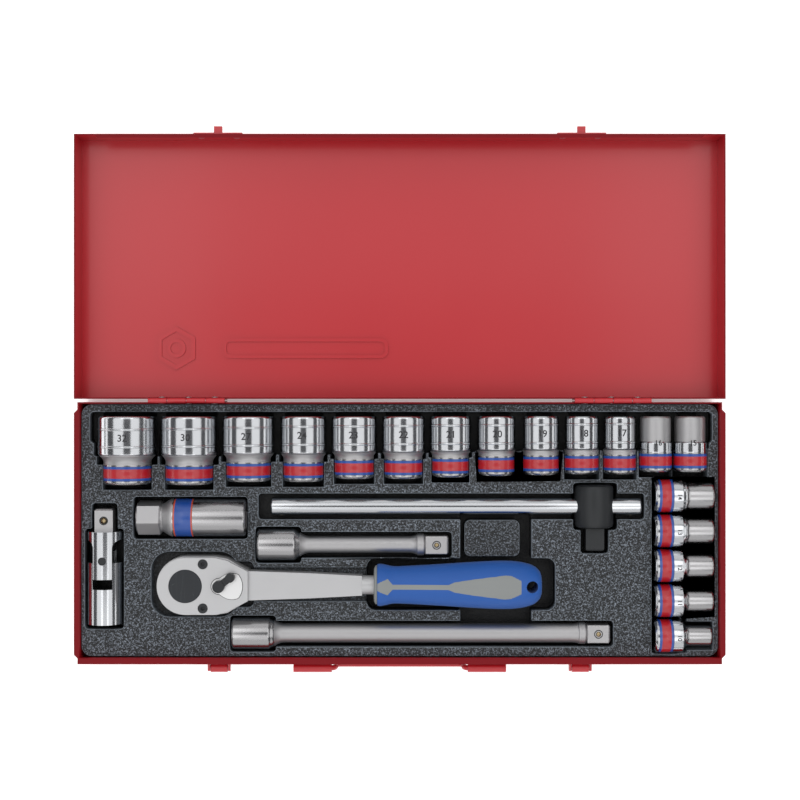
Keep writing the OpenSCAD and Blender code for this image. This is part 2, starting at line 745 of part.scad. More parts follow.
plug_bore_from = 24;
plug_rubber_from = 28;
plug_rubber_l = 16;
module spark_plug_socket() {
    d = plug_d / 2;
    color("silver") translate([plug_x, plug_y, tool_z]) along_x() difference() {
        union() {
            intersection() {
                rotate([0, 0, -15]) hexagon(plug_hex_af, plug_hex_l);
                cylinder(r1 = plug_hex_af / 2, r2 = plug_hex_af, h = plug_hex_l);
            }
            rotate_extrude() polygon([[0, plug_hex_l - eps], [d - 3.2, plug_hex_l - eps], [d - 2.6,
                plug_hex_l + 3],
                [d, plug_hex_l + 7], [d, plug_l - 0.8], [d - 0.8, plug_l], [0, plug_l]]);
        }
        female_square(square_depth);
        translate([0, 0, 4]) cylinder(d = 11, h = plug_l);
        translate([0, 0, plug_bore_from]) hexagon(plug_af, plug_l);
    }
}
module spark_plug_insert() {
    color("black") translate([plug_x + plug_rubber_from, plug_y, tool_z]) along_x() difference() {
        cylinder(d = plug_af - 0.1, h = plug_rubber_l);
        translate([0, 0, -1]) cylinder(d = 12, h = plug_rubber_l + 2);
    }
}

// ---- Detent balls ----

// Blind hole for a ball in the +Z face of a square bar centred on Z = 0
module ball_hole(af = square_af) {
    translate([0, 0, af / 2 + ball_out - 2 * ball_r - 1.2]) cylinder(r = ball_r + fit, h = 2 * ball_r + 2);
}
module ball(af = square_af) {
    color("goldenrod") translate([0, 0, af / 2 + ball_out - ball_r]) sphere(r = ball_r);
}
module square_bar(l) {
    difference() {
        translate([0, 0, l / 2]) cube([square_af, square_af, l], center = true);
        translate([0, 0, l]) for (a = [0:90:270]) rotate([0, 0, a]) translate([square_af / 2, 0, 0])
            rotate([0, 45, 0]) cube([1.4, square_af + 1, 1.4], center = true);
    }
}
ball_in = 7.4;

// ---- Universal joint (axis along Y, square towards +Y) ----

module joint_round(y0, y1) { translate([0, y0, 0]) along_y() cylinder(r = joint_r, h = y1 - y0); }
module joint_drive_yoke() {
    slot = block_w / 2 + lug_gap;
    lug_end = joint_y - 12.5;
    lug_w2 = 6.4;
    scallop_r = 5.5;
    color("silver") translate([joint_x, 0, tool_z]) difference() {
        union() {
            joint_round(lug_end, joint_top);
            translate([0, joint_top - eps, 0]) along_y() square_bar(square_l);
        }
        box(-joint_r - 1, joint_r + 1, lug_end - 1, joint_y + 8, -slot, slot);
        for (side = [-1, 1]) mirror([side < 0 ? 1 : 0, 0, 0])
            union() {
                box(lug_w2, joint_r + 1, lug_end - 1, joint_y + 8.5, -joint_r, joint_r);
                translate([lug_w2 + scallop_r, joint_y + 8.5, -joint_r])
                    cylinder(r = scallop_r, h = joint_d);
            }
        translate([0, joint_y, -joint_r - 1]) cylinder(r = cross_pin_r + fit, h = joint_d + 2);
        translate([0, joint_top + ball_in, 0]) ball_hole();
    }
}
module joint_ball() {
    translate([joint_x, joint_top + ball_in, tool_z]) ball();
}
joint_pin2 = joint_y - pin_offset;
module joint_block() {
    half = block_w / 2;
    color("dimgray") translate([joint_x, 0, tool_z]) difference() {
        box(-half, half, joint_pin2 - 5.5, joint_y + 5.5, -half, half);
        translate([0, joint_y, -half - 1]) cylinder(r = cross_pin_r + fit, h = block_w + 2);
        translate([-half - 1, joint_pin2, 0]) along_x() cylinder(r = cross_pin_r + fit, h = block_w + 2);
    }
}
// The two cross pins pass clear of each other, pin_offset apart
module joint_pins() {
    color("black") translate([joint_x, 0, tool_z]) {
        translate([0, joint_y, 0.2 - joint_r]) cylinder(r = cross_pin_r, h = joint_d - 0.4);
        translate([0.2 - joint_r, joint_pin2, 0]) along_x() cylinder(r = cross_pin_r, h = joint_d - 0.4);
    }
}
module joint_socket_yoke() {
    slot = block_w / 2 + lug_gap;
    crotch = joint_pin2 - 11.4;
    lug_top = joint_pin2 + 6.4;
    color("silver") translate([joint_x, 0, tool_z]) difference() {
        joint_round(joint_low, lug_top);
        box(-6.7, 6.7, crotch, lug_top + 1, -joint_r - 1, joint_r + 1);
        translate([-joint_r - 1, joint_pin2, 0]) along_x() cylinder(r = cross_pin_r + fit,
            h = joint_d + 2);
        translate([0, joint_low, 0]) along_y() female_square(square_depth);
    }
}

// ---- Extensions (axis along X, head at 0) ----

module extension(l, shank_d) {
    h = head_d / 2;
    s = shank_d / 2;
    c = collar_d / 2;
    sq = l - square_l;
    along_x() difference() {
        union() {
            rotate_extrude() polygon([[0, 0], [h - 1, 0], [h, 1], [h, ext_head_l - 1], [h - 1, ext_head_l],
                [s + 2.2, ext_head_l + 3], [s + 0.5, ext_head_l + ext_neck_l], [s,
                    ext_head_l + ext_neck_l + 5],
                [s, sq - collar_l - 5], [c - 0.4, sq - collar_l], [c, sq - collar_l + 1], [c, sq - 1],
                [c - 1, sq + eps], [0, sq + eps]]);
            translate([0, 0, sq]) square_bar(square_l);
        }
        female_square(square_depth);
        translate([0, 0, l - square_l + ball_in]) rotate([0, -90, 0]) ball_hole();
    }
}
module short_extension() { color("silver") translate([short_x, short_y, tool_z]) extension(short_l,
    short_shank_d); }
module long_extension() { color("silver") translate([long_x, long_y, tool_z]) extension(long_l,
    long_shank_d); }
module short_extension_ball() { translate([short_x + short_l - square_l + ball_in, short_y, tool_z])
    ball(); }
module long_extension_ball() { translate([long_x + long_l - square_l + ball_in, long_y, tool_z]) ball(); }

// ---- Sliding T-bar ----

module t_bar_rod() {
    color("silver") translate([rod_x, rod_y, tool_z]) difference() {
        along_x() rotate_extrude() polygon([[0, 0], [rod_d / 2 - 0.8, 0], [rod_d / 2, 0.8],
            [rod_d / 2, rod_l - 0.8], [rod_d / 2 - 0.8, rod_l], [0, rod_l]]);
        for (x = [rod_ball_in, rod_l - rod_ball_in]) translate([x, 0, 0]) rotate([90, 0, 0])
            ball_hole(rod_d);
    }
}
module rod_ball(x) { translate([rod_x + x, rod_y, tool_z]) rotate([90, 0, 0]) ball(rod_d); }
module t_head() {
    h = t_head_d / 2;
    low = -t_head_l / 2;
    color("dimgray") translate([t_head_x, rod_y, tool_z]) difference() {
        union() {
            translate([0, low, 0]) along_y() rotate_extrude() polygon([[0, 0], [h - 2.5, 0], [h - 0.6,
                1], [h, 2.6],
                [h, t_head_l - 2.6], [h - 0.6, t_head_l - 1], [h - 2.5, t_head_l], [0, t_head_l]]);
            translate([0, low + eps, 0]) rotate([90, 0, 0]) square_bar(square_l);
        }
        translate([-h - 1, 0, 0]) along_x() cylinder(r = rod_d / 2 + fit + 0.02, h = t_head_d + 2);
        translate([0, low - ball_in, 0]) rotate([180, 0, 0]) ball_hole();
    }
}
module t_head_ball() { translate([t_head_x, rod_y - t_head_l / 2 - ball_in, tool_z]) rotate([180, 0,
    0]) ball(); }

// ---- Ratchet (drive axis along Z, handle towards +X) ----

module head_outline(inset) {
    r = ratchet_r - inset;
    union() {
        circle(r = r);
        polygon([[0, -r], [20, -r], [28, 1.4 + inset - r], [35.5, inset - 13.8],
            [head_reach, inset / 2 - 10.2],
            [head_reach, 10.2 - inset / 2], [35.5, 13.8 - inset], [28, r - 1.4 - inset], [20, r], [0, r]]);
    }
}
shank_low = ratchet_z - 5.5;
shank_t = 11;
module ratchet_body() {
    tang_l = grip_l - 34;
    neck_l = 8;
    color("silver") translate([ratchet_x, ratchet_y, 0]) difference() {
        union() {
            translate([0, 0, head_low]) linear_extrude(head_t) head_outline(0);
            translate([0, 0, shank_low]) linear_extrude(shank_t)
                polygon([[36, -9.8], [44, -9.8], [84, -8.4], [shank_reach - neck_l, -6.6],
                    [shank_reach - neck_l, 6.6], [84, 8.4], [44, 9.8], [36, 9.8]]);
            translate([shank_reach - neck_l - eps, 0, ratchet_z]) along_x() cylinder(r = 6.4,
                h = neck_l + eps);
            translate([shank_reach - eps, 0, ratchet_z]) along_x() cylinder(r = tang_r, h = tang_l);
        }
        translate([0, 0, gear_low]) cylinder(r = gear_r + 0.5, h = head_t);
        translate([0, 0, head_low - 1]) cylinder(r = anvil_r + fit, h = head_t);
        // room for the pawl and the lever's shaft
        translate([7, -8.5, gear_low]) cube([lever_x + lever_shaft_r - 3, 17, head_t]);
        translate([lever_x, 0, gear_low - 1.5]) cylinder(r = lever_shaft_r + fit, h = head_t);
        for (side = [-1, 1]) translate([screw_x, side * screw_y, head_top - 8])
            cylinder(r = 1.6 + fit, h = 9);
    }
}
module ratchet_cover() {
    color("lightgray") translate([ratchet_x, ratchet_y, 0]) difference() {
        translate([0, 0, head_top]) linear_extrude(cover_t) head_outline(0.5);
        translate([0, 0, head_top - 1]) cylinder(r = anvil_r + fit, h = cover_t + 2);
        translate([lever_x, 0, head_top - 1]) cylinder(r = lever_shaft_r + fit, h = cover_t + 2);
        for (side = [-1, 1]) translate([screw_x, side * screw_y, head_top - 1]) {
            cylinder(r = 1.6 + fit, h = cover_t + 2);
            translate([0, 0, 1.6]) cylinder(r = 3.3 + fit, h = cover_t);
        }
    }
}
module ratchet_screws() {
    color("black") translate([ratchet_x, ratchet_y, 0]) for (side = [-1, 1])
        translate([screw_x, side * screw_y, 0]) difference() {
            union() {
                translate([0, 0, head_top - 6]) cylinder(r = 1.6, h = 7);
                translate([0, 0, head_top + 0.6 + fit]) cylinder(r = 3.3, h = cover_t - 0.6);
            }
            translate([0, 0, cover_top - 1.4]) hexagon(2.6, 3);
        }
}
module ratchet_lever() {
    arm = 10;
    knob_top = cover_top + 5.4;
    color("black") translate([ratchet_x + lever_x, ratchet_y, 0]) rotate([0, 0, lever_angle]) union() {
        translate([0, 0, gear_low - 1.2]) cylinder(r = lever_shaft_r, h = cover_top + 2 - gear_low);
        translate([0, 0, cover_top + 0.15]) cylinder(r = knob_r, h = 4);
        translate([0, -2.4, cover_top + 0.15]) cube([arm, 4.8, 3.4]);
        translate([arm, 0, cover_top + 0.15]) cylinder(r = 3.1, h = knob_top - cover_top);
    }
}
pawl_rock = 4.5;
module ratchet_pawl() {
    color("dimgray") translate([ratchet_x + lever_x, ratchet_y, 0]) rotate([0, 0, pawl_rock])
        difference() {
        translate([-9.2, -6.6, gear_low + 0.3]) cube([12.6, 13.2, gear_top - gear_low - 0.6]);
        translate([-lever_x, 0, 0]) cylinder(r = gear_r + 1.5, h = 60);
        cylinder(r = lever_shaft_r + fit, h = 60);
    }
}
function gear_points(n, tip, root) =
    [for (i = [0:2 * n - 1]) let (a = 180 * i / n, r = i % 2 == 0 ? tip : root) [r * cos(a), r * sin(a)]];
module ratchet_anvil() {
    color("dimgray") translate([ratchet_x, ratchet_y, 0]) difference() {
        union() {
            translate([0, 0, gear_low + 0.1]) linear_extrude(gear_top - gear_low - 0.1)
                polygon(gear_points(gear_teeth, gear_r, gear_r - 1));
            translate([0, 0, head_low]) cylinder(r = anvil_r, h = cover_top - head_low);
            translate([0, 0, head_low + eps]) rotate([180, 0, 0]) square_bar(square_l);
        }
        translate([0, 0, head_low - ball_in]) rotate([-90, 0, 0]) ball_hole();
    }
}
module ratchet_ball() {
    translate([ratchet_x, ratchet_y, head_low - ball_in]) rotate([-90, 0, 0]) ball();
}

core_r = 8.6;
hang_x = grip_l - 7;
module hang_hole() {
    translate([hang_x, 0, -grip_d]) cylinder(r = 4, h = 2 * grip_d);
}
module grip_core() {
    color("gray") translate([grip_x, ratchet_y, ratchet_z]) difference() {
        along_x() rotate_extrude() polygon([[tang_r + fit, 0], [11, 0], [13, 1], [13.2, 2.2], [core_r,
            2.2],
            [core_r, grip_l - 18], [tang_r + fit, grip_l - 18]]);
        hang_hole();
    }
}
module grip_overmould() {
    big = grip_d / 2;
    inner = core_r + fit;
    color("royalblue") translate([grip_x, ratchet_y, ratchet_z]) difference() {
        along_x() rotate_extrude() polygon([[inner, 2.25], [13.8, 2.25], [14.3, 4], [13.6, 8], [12.5,
            13], [12.7, 22],
            [14, 44], [15.4, 66], [big, 84], [big - 0.3, 94], [big - 1.4, 102], [big - 4, grip_l - 4],
            [big - 8, grip_l], [0, grip_l], [0, grip_l - 17.9], [inner, grip_l - 17.9]]);
        hang_hole();
    }
}

base_shell();
lid_shell();
hinge_leaves_base();
hinge_leaves_lid();
hinge_pins();
latch_plates();
latch_pins();
latch_lever(-1);  // latch_lever_left
latch_lever(1);  // latch_lever_right
lid_catches();
handle_brackets();
handle_bail();
rivets_base();
rivets_lid();
insert_tray();
row_socket(0);  // socket_32
row_socket(1);  // socket_30
row_socket(2);  // socket_27
row_socket(3);  // socket_24
row_socket(4);  // socket_23
row_socket(5);  // socket_22
row_socket(6);  // socket_21
row_socket(7);  // socket_20
row_socket(8);  // socket_19
row_socket(9);  // socket_18
row_socket(10);  // socket_17
row_socket(11);  // socket_16
row_socket(12);  // socket_15
column_socket(0);  // socket_14
column_socket(1);  // socket_13
column_socket(2);  // socket_12
column_socket(3);  // socket_11
column_socket(4);  // socket_10
spark_plug_socket();
spark_plug_insert();
joint_drive_yoke();
joint_block();
joint_pins();
joint_socket_yoke();
joint_ball();
short_extension();
short_extension_ball();
long_extension();
long_extension_ball();
t_head();
t_head_ball();
t_bar_rod();
rod_ball(rod_ball_in);  // t_bar_ball_left
rod_ball(rod_l - rod_ball_in);  // t_bar_ball_right
ratchet_body();
ratchet_cover();
ratchet_screws();
ratchet_lever();
ratchet_pawl();
ratchet_anvil();
ratchet_ball();
grip_core();
grip_overmould();
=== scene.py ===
"""Looks of a half-inch-drive socket set lying in its open sheet-steel case.

Sizes in this script are millimetres; they become metres where a mesh or light is made.
"""

import math

import bmesh
import bpy
from mathutils import Matrix, Vector


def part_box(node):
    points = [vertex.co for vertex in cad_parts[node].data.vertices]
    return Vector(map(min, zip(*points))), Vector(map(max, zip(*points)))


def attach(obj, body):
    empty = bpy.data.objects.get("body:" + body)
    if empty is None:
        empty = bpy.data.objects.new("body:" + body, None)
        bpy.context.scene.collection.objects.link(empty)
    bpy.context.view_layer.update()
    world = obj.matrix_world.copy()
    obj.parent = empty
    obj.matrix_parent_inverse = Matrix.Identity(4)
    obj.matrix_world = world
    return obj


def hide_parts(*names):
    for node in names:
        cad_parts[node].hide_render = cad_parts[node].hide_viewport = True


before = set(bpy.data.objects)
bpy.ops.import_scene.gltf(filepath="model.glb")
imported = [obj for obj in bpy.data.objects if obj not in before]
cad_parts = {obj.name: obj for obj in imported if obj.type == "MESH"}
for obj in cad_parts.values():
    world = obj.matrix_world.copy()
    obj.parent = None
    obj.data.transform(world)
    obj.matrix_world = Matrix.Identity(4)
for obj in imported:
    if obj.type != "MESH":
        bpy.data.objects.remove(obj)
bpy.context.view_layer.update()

MM = 0.001
# Points round a turned piece: a multiple of 4 and of 6, so that squares and hexagons keep their corners.
AROUND = 96
SCENE = bpy.context.scene

# ---------------------------------------------------------------- camera


def place_camera():
    """A camera straight above the case."""
    data = bpy.data.cameras.new("camera")
    data.lens = 63.33
    data.sensor_width = 36
    data.clip_start = 0.01
    data.clip_end = 50
    camera = bpy.data.objects.new("camera", data)
    camera.location = (0.00017, 0.08995, 0.980)
    SCENE.collection.objects.link(camera)
    SCENE.camera = camera


place_camera()

# ---------------------------------------------------------------- measures read from the CAD parts


def low(node, axis):
    """Lowest coordinate of a CAD node along an axis, in millimetres."""
    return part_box(node)[0][axis] / MM


def high(node, axis):
    """Highest coordinate of a CAD node along an axis, in millimetres."""
    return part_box(node)[1][axis] / MM


def middle(node, axis):
    """Middle of a CAD node along an axis, in millimetres."""
    return (low(node, axis) + high(node, axis)) / 2


def span(node, axis):
    """Size of a CAD node along an axis, in millimetres."""
    return high(node, axis) - low(node, axis)


# ---------------------------------------------------------------- shader groups


def linear(code):
    """Linear colour of an #rrggbb code."""
    parts = [int(code[i : i + 2], 16) / 255 for i in (1, 3, 5)]
    return [p / 12.92 if p <= 0.04045 else ((p + 0.055) / 1.055) ** 2.4 for p in parts] + [1.0]


def new_group(name, inputs, outputs):
    """An empty shader group with named sockets, and its input and output nodes."""
    group = bpy.data.node_groups.new(name, "ShaderNodeTree")
    kinds = {"float": "NodeSocketFloat", "colour": "NodeSocketColor", "vector": "NodeSocketVector"}
    for label, kind, value in inputs:
        socket = group.interface.new_socket(name=label, in_out="INPUT", socket_type=kinds[kind])
        if value is not None:
            socket.default_value = value
    for label, kind in outputs:
        group.interface.new_socket(name=label, in_out="OUTPUT", socket_type=kinds[kind])
    return group, group.nodes.new("NodeGroupInput"), group.nodes.new("NodeGroupOutput")


def math_node(tree, operation, first, second=None):
    """A Math node; each operand is a number or a socket."""
    node = tree.nodes.new("ShaderNodeMath")
    node.operation = operation
    for socket, value in zip(node.inputs, (first, second)):
        if value is None:
            continue
        if isinstance(value, (int, float)):
            socket.default_value = value
        else:
            tree.links.new(value, socket)
    return node.outputs[0]


def noise_node(tree, vector, scale, detail=2.0, roughness=0.5):
    """A Noise Texture's value; scale is a number or a socket."""
    node = tree.nodes.new("ShaderNodeTexNoise")
    node.inputs["Detail"].default_value = detail
    node.inputs["Roughness"].default_value = roughness
    tree.links.new(vector, node.inputs["Vector"])
    if isinstance(scale, (int, float)):
        node.inputs["Scale"].default_value = scale
    else:
        tree.links.new(scale, node.inputs["Scale"])
    return node.outputs[0]


def build_drift_group():
    """Slow change of a colour and of its gloss over a surface."""
    group, given, result = new_group(
        "tone_drift",
        [("Vector", "vector", None), ("Colour", "colour", None), ("Scale", "float", 20.0),
         ("Amount", "float", 0.1), ("Roughness", "float", 0.3), ("Gloss change", "float", 0.05)],
        [("Colour", "colour"), ("Roughness", "float")],
    )
    slow = noise_node(group, given.outputs["Vector"], given.outputs["Scale"], 3.0)
    centred = math_node(group, "SUBTRACT", slow, 0.5)
    shift = math_node(group, "MULTIPLY", centred, given.outputs["Amount"])
    value = math_node(group, "ADD", math_node(group, "MULTIPLY", shift, 2.0), 1.0)
    change = group.nodes.new("ShaderNodeHueSaturation")
    group.links.new(given.outputs["Colour"], change.inputs["Color"])
    group.links.new(value, change.inputs["Value"])
    group.links.new(change.outputs[0], result.inputs["Colour"])
    gloss = math_node(group, "MULTIPLY", centred, given.outputs["Gloss change"])
    group.links.new(
        math_node(group, "ADD", math_node(group, "MULTIPLY", gloss, 2.0), given.outputs["Roughness"]),
        result.inputs["Roughness"],
    )
    return group


def build_grain_group():
    """Moulded leather-like grain: small raised cells with pores between them."""
    group, given, result = new_group(
        "moulded_grain",
        [("Vector", "vector", None), ("Scale", "float", 900.0)],
        [("Height", "float"), ("Mask", "float")],
    )
    place, scale = given.outputs["Vector"], given.outputs["Scale"]
    broad = noise_node(group, place, math_node(group, "MULTIPLY", scale, 0.6), 2.0)
    fine = noise_node(group, place, math_node(group, "MULTIPLY", scale, 1.7), 3.0)
    cells = group.nodes.new("ShaderNodeTexVoronoi")
    cells.feature = "SMOOTH_F1"
    group.links.new(place, cells.inputs["Vector"])
    group.links.new(scale, cells.inputs["Scale"])
    raised = math_node(group, "MULTIPLY", fine, 0.7)
    raised = math_node(group, "ADD", raised, math_node(group, "MULTIPLY", broad, 0.9))
    pores = math_node(group, "MULTIPLY", cells.outputs["Distance"], 0.6)
    height = math_node(group, "SUBTRACT", raised, pores)
    group.links.new(height, result.inputs["Height"])
    # the mask picks the raised cell tops, which the insert paints pale as a painted highlight
    ramp = group.nodes.new("ShaderNodeMapRange")
    ramp.inputs["From Min"].default_value = 0.52
    ramp.inputs["From Max"].default_value = 0.86
    group.links.new(height, ramp.inputs["Value"])
    group.links.new(ramp.outputs[0], result.inputs["Mask"])
    return group


def build_brush_group():
    """Fine lines drawn out along one axis, as brushing or turning leaves."""
    group, given, result = new_group(
        "brushing",
        [("Vector", "vector", None), ("Stretch", "vector", (1.0, 1.0, 1.0)), ("Scale", "float", 900.0)],
        [("Lines", "float")],
    )
    stretch = group.nodes.new("ShaderNodeVectorMath")
    stretch.operation = "MULTIPLY"
    group.links.new(given.outputs["Vector"], stretch.inputs[0])
    group.links.new(given.outputs["Stretch"], stretch.inputs[1])
    lines = noise_node(group, stretch.outputs[0], given.outputs["Scale"], 4.0, 0.65)
    group.links.new(lines, result.inputs["Lines"])
    return group


def build_scratch_group():
    """A few hairline scratches in crossing directions."""
    group, given, result = new_group(
        "hairlines",
        [("Vector", "vector", None), ("Scale", "float", 60.0), ("Thickness", "float", 0.02)],
        [("Mask", "float")],
    )
    total = None
    for turn, stretch in ((0.4, 0.06), (-0.9, 0.05), (1.9, 0.08)):
        mapping = group.nodes.new("ShaderNodeMapping")
        mapping.inputs["Rotation"].default_value = (0.3, 0.2, turn)
        mapping.inputs["Scale"].default_value = (1.0, stretch, 1.0)
        group.links.new(given.outputs["Vector"], mapping.inputs["Vector"])
        cells = group.nodes.new("ShaderNodeTexVoronoi")
        cells.feature = "DISTANCE_TO_EDGE"
        group.links.new(mapping.outputs[0], cells.inputs["Vector"])
        group.links.new(given.outputs["Scale"], cells.inputs["Scale"])
        line = math_node(group, "LESS_THAN", cells.outputs["Distance"], given.outputs["Thickness"])
        cloud = noise_node(group, mapping.outputs[0], given.outputs["Scale"])
        patch = math_node(group, "GREATER_THAN", cloud, 0.56)
        mark = math_node(group, "MULTIPLY", line, patch)
        total = mark if total is None else math_node(group, "MAXIMUM", total, mark)
    group.links.new(total, result.inputs["Mask"])
    return group


GROUPS = {
    "drift": build_drift_group(),
    "grain": build_grain_group(),
    "brush": build_brush_group(),
    "hairlines": build_scratch_group(),
}

# ---------------------------------------------------------------- materials


def mix_node(tree, mask, first, second):
    """A colour that goes from first to second with the mask; each is a colour or a socket."""
    node = tree.nodes.new("ShaderNodeMix")
    node.data_type = "RGBA"
    tree.links.new(mask, node.inputs["Factor"])
    for label, value in (("A", first), ("B", second)):
        socket = [s for s in node.inputs if s.name == label and s.type == "RGBA"][0]
        if isinstance(value, bpy.types.NodeSocket):
            tree.links.new(value, socket)
        else:
            socket.default_value = value
    return [s for s in node.outputs if s.type == "RGBA"][0]


class Finish:
    """A material being built: its tree, its shader and its Object coordinates."""

    def __init__(self, name, metallic=0.0, specular=0.5, coat=0.0, coat_roughness=0.1, sheen=0.0):
        self.material = bpy.data.materials.new(name)
        self.material.use_nodes = True
        self.tree = self.material.node_tree
        self.shader = self.tree.nodes["Principled BSDF"]
        self.shader.inputs["Metallic"].default_value = metallic
        self.shader.inputs["Specular IOR Level"].default_value = specular
        self.shader.inputs["Coat Weight"].default_value = coat
        self.shader.inputs["Coat Roughness"].default_value = coat_roughness
        self.shader.inputs["Sheen Weight"].default_value = sheen
        self.place = self.tree.nodes.new("ShaderNodeTexCoord").outputs["Object"]

    def group(self, key, **values):
        """A shared group in this material; spaces in socket names are written as underscores."""
        node = self.tree.nodes.new("ShaderNodeGroup")
        node.node_tree = GROUPS[key]
        self.tree.links.new(self.place, node.inputs["Vector"])
        for label, value in values.items():
            socket = node.inputs[label.replace("_", " ")]
            if isinstance(value, bpy.types.NodeSocket):
                self.tree.links.new(value, socket)
            else:
                socket.default_value = value
        return node

    def tone(self, colour, amount, scale, roughness, change):
        """Base colour and roughness from the drift group."""
        node = self.group("drift", Colour=linear(colour), Amount=amount, Scale=scale, Roughness=roughness,
                          Gloss_change=change)
        self.tree.links.new(node.outputs["Colour"], self.shader.inputs["Base Color"])
        self.tree.links.new(node.outputs["Roughness"], self.shader.inputs["Roughness"])
        return node

    def bump(self, height, distance):
        """Bump of that depth in millimetres."""
        node = self.tree.nodes.new("ShaderNodeBump")
        node.inputs["Strength"].default_value = 1.0
        node.inputs["Distance"].default_value = distance * MM
        self.tree.links.new(height, node.inputs["Height"])
        self.tree.links.new(node.outputs[0], self.shader.inputs["Normal"])

    def ramp(self, value, start, end, most=1.0):
        """A mask that goes from 0 to most while the value goes from start to end."""
        node = self.tree.nodes.new("ShaderNodeMapRange")
        node.inputs["From Min"].default_value = start
        node.inputs["From Max"].default_value = end
        node.inputs["To Max"].default_value = most
        self.tree.links.new(value, node.inputs["Value"])
        return node.outputs[0]

    def upward(self, vector):
        """The Z part of a vector."""
        node = self.tree.nodes.new("ShaderNodeSeparateXYZ")
        self.tree.links.new(vector, node.inputs[0])
        return node.outputs["Z"]

    def mix_colour(self, mask, first, second):
        """Base colour that goes from first to second with the mask."""
        self.tree.links.new(mix_node(self.tree, mask, first, second), self.shader.inputs["Base Color"])


def red_enamel():
    """Glossy sprayed enamel with a little orange peel."""
    finish = Finish("red_enamel", specular=0.5, coat=0.35, coat_roughness=0.16)
    finish.tone("#A3121C", 0.05, 9.0, 0.36, 0.05)
    peel = noise_node(finish.tree, finish.place, 420.0, 2.0)
    finish.bump(peel, 0.02)
    return finish.material


def deep_enamel():
    """The same enamel darkened on narrow rims and hems, as painted shade where they catch little light."""
    finish = Finish("red_enamel_rim_painted_shade", specular=0.12)
    finish.tone("#6A0A12", 0.08, 12.0, 0.45, 0.05)
    peel = noise_node(finish.tree, finish.place, 420.0, 2.0)
    finish.bump(peel, 0.02)
    return finish.material


def insert_plastic():
    """Black thermoformed plastic: grain with its raised tops painted pale as a painted highlight, a painted
    highlight where lips curve over, and painted shade darkening the pockets.
    """
    # heights between which the pockets get painted shade, full at the lower one
    pocket_shade_bottom = 17.0
    pocket_shade_top = high("insert_tray", 2) - 0.9
    finish = Finish("insert_plastic", specular=0.45)
    tone = finish.tone("#151719", 0.12, 14.0, 0.5, 0.08)
    grain = finish.group("grain", Scale=1250.0)
    # the raised grain tops are painted pale blue-grey: a painted highlight of the grain
    speckled = mix_node(finish.tree, grain.outputs["Mask"], tone.outputs["Colour"], linear("#767E88"))
    # lips that curve over are painted paler: a painted highlight
    normal = finish.tree.nodes.new("ShaderNodeNewGeometry").outputs["Normal"]
    lip_highlight = finish.ramp(finish.upward(normal), 0.995, 0.90, 0.65)
    rounded = mix_node(finish.tree, lip_highlight, speckled, linear("#7C848C"))
    # below the insert's top the colour darkens to near black: painted shade in the pockets
    depth = finish.ramp(finish.upward(finish.place), pocket_shade_bottom * MM, pocket_shade_top * MM)
    finish.mix_colour(depth, linear("#08090A"), rounded)
    finish.bump(grain.outputs["Height"], 0.38)
    return finish.material


def polished_chrome():
    """Mirror chrome with a breath of haze."""
    finish = Finish("polished_chrome", metallic=1.0)
    finish.tone("#CED0D3", 0.03, 40.0, 0.155, 0.03)
    wave = noise_node(finish.tree, finish.place, 160.0, 2.0)
    finish.bump(wave, 0.004)
    return finish.material


def satin_chrome():
    """Bead-blasted chrome."""
    finish = Finish("satin_chrome", metallic=1.0)
    finish.tone("#BEBDBE", 0.05, 26.0, 0.48, 0.05)
    blast = noise_node(finish.tree, finish.place, 2600.0, 3.0, 0.7)
    finish.bump(blast, 0.02)
    return finish.material


def smooth_satin():
    """Finely ground chrome, softer than a mirror."""
    finish = Finish("smooth_satin", metallic=1.0)
    finish.tone("#B2B1B2", 0.04, 30.0, 0.22, 0.04)
    lines = finish.group("brush", Stretch=(0.15, 1.0, 1.0), Scale=1400.0)
    finish.bump(lines.outputs["Lines"], 0.008)
    return finish.material


def black_oxide():
    """Oiled black oxide on steel."""
    finish = Finish("black_oxide", metallic=0.35, specular=0.5)
    finish.tone("#26282A", 0.12, 60.0, 0.42, 0.08)
    tooth = noise_node(finish.tree, finish.place, 2200.0, 3.0, 0.7)
    finish.bump(tooth, 0.03)
    return finish.material


def gear_back():
    """Dark ground steel of the drive's round back, with faint scratches."""
    finish = Finish("gear_back", metallic=0.7)
    tone = finish.tone("#333538", 0.10, 90.0, 0.38, 0.10)
    marks = finish.group("hairlines", Scale=420.0, Thickness=0.008)
    finish.mix_colour(marks.outputs["Mask"], tone.outputs["Colour"], linear("#3F4144"))
    tooth = noise_node(finish.tree, finish.place, 1800.0, 3.0, 0.7)
    finish.bump(tooth, 0.02)
    return finish.material


def forged_satin():
    """Pale, fine-grained plating over a forged head and handle."""
    finish = Finish("forged_satin", metallic=0.75)
    finish.tone("#BEBEBF", 0.05, 40.0, 0.45, 0.06)
    blast = noise_node(finish.tree, finish.place, 2200.0, 3.0, 0.7)
    finish.bump(blast, 0.02)
    return finish.material


def bright_plate():
    """Lightly polished plate."""
    finish = Finish("bright_plate", metallic=0.9)
    finish.tone("#E8E8E8", 0.05, 90.0, 0.42, 0.05)
    blast = noise_node(finish.tree, finish.place, 1800.0, 3.0, 0.7)
    finish.bump(blast, 0.015)
    return finish.material


def size_mark():
    """Dark bottom of stamped numerals."""
    finish = Finish("size_mark", metallic=0.8)
    finish.tone("#3A3A3C", 0.15, 300.0, 0.4, 0.1)
    return finish.material


def ball_steel():
    """Straw-coloured hardened steel."""
    finish = Finish("ball_steel", metallic=1.0)
    finish.tone("#AC9A78", 0.05, 300.0, 0.16, 0.04)
    return finish.material


def zinc_plate():
    """Bright zinc on pins and rivets."""
    finish = Finish("zinc_plate", metallic=1.0)
    finish.tone("#C4C6C8", 0.10, 300.0, 0.30, 0.10)
    return finish.material


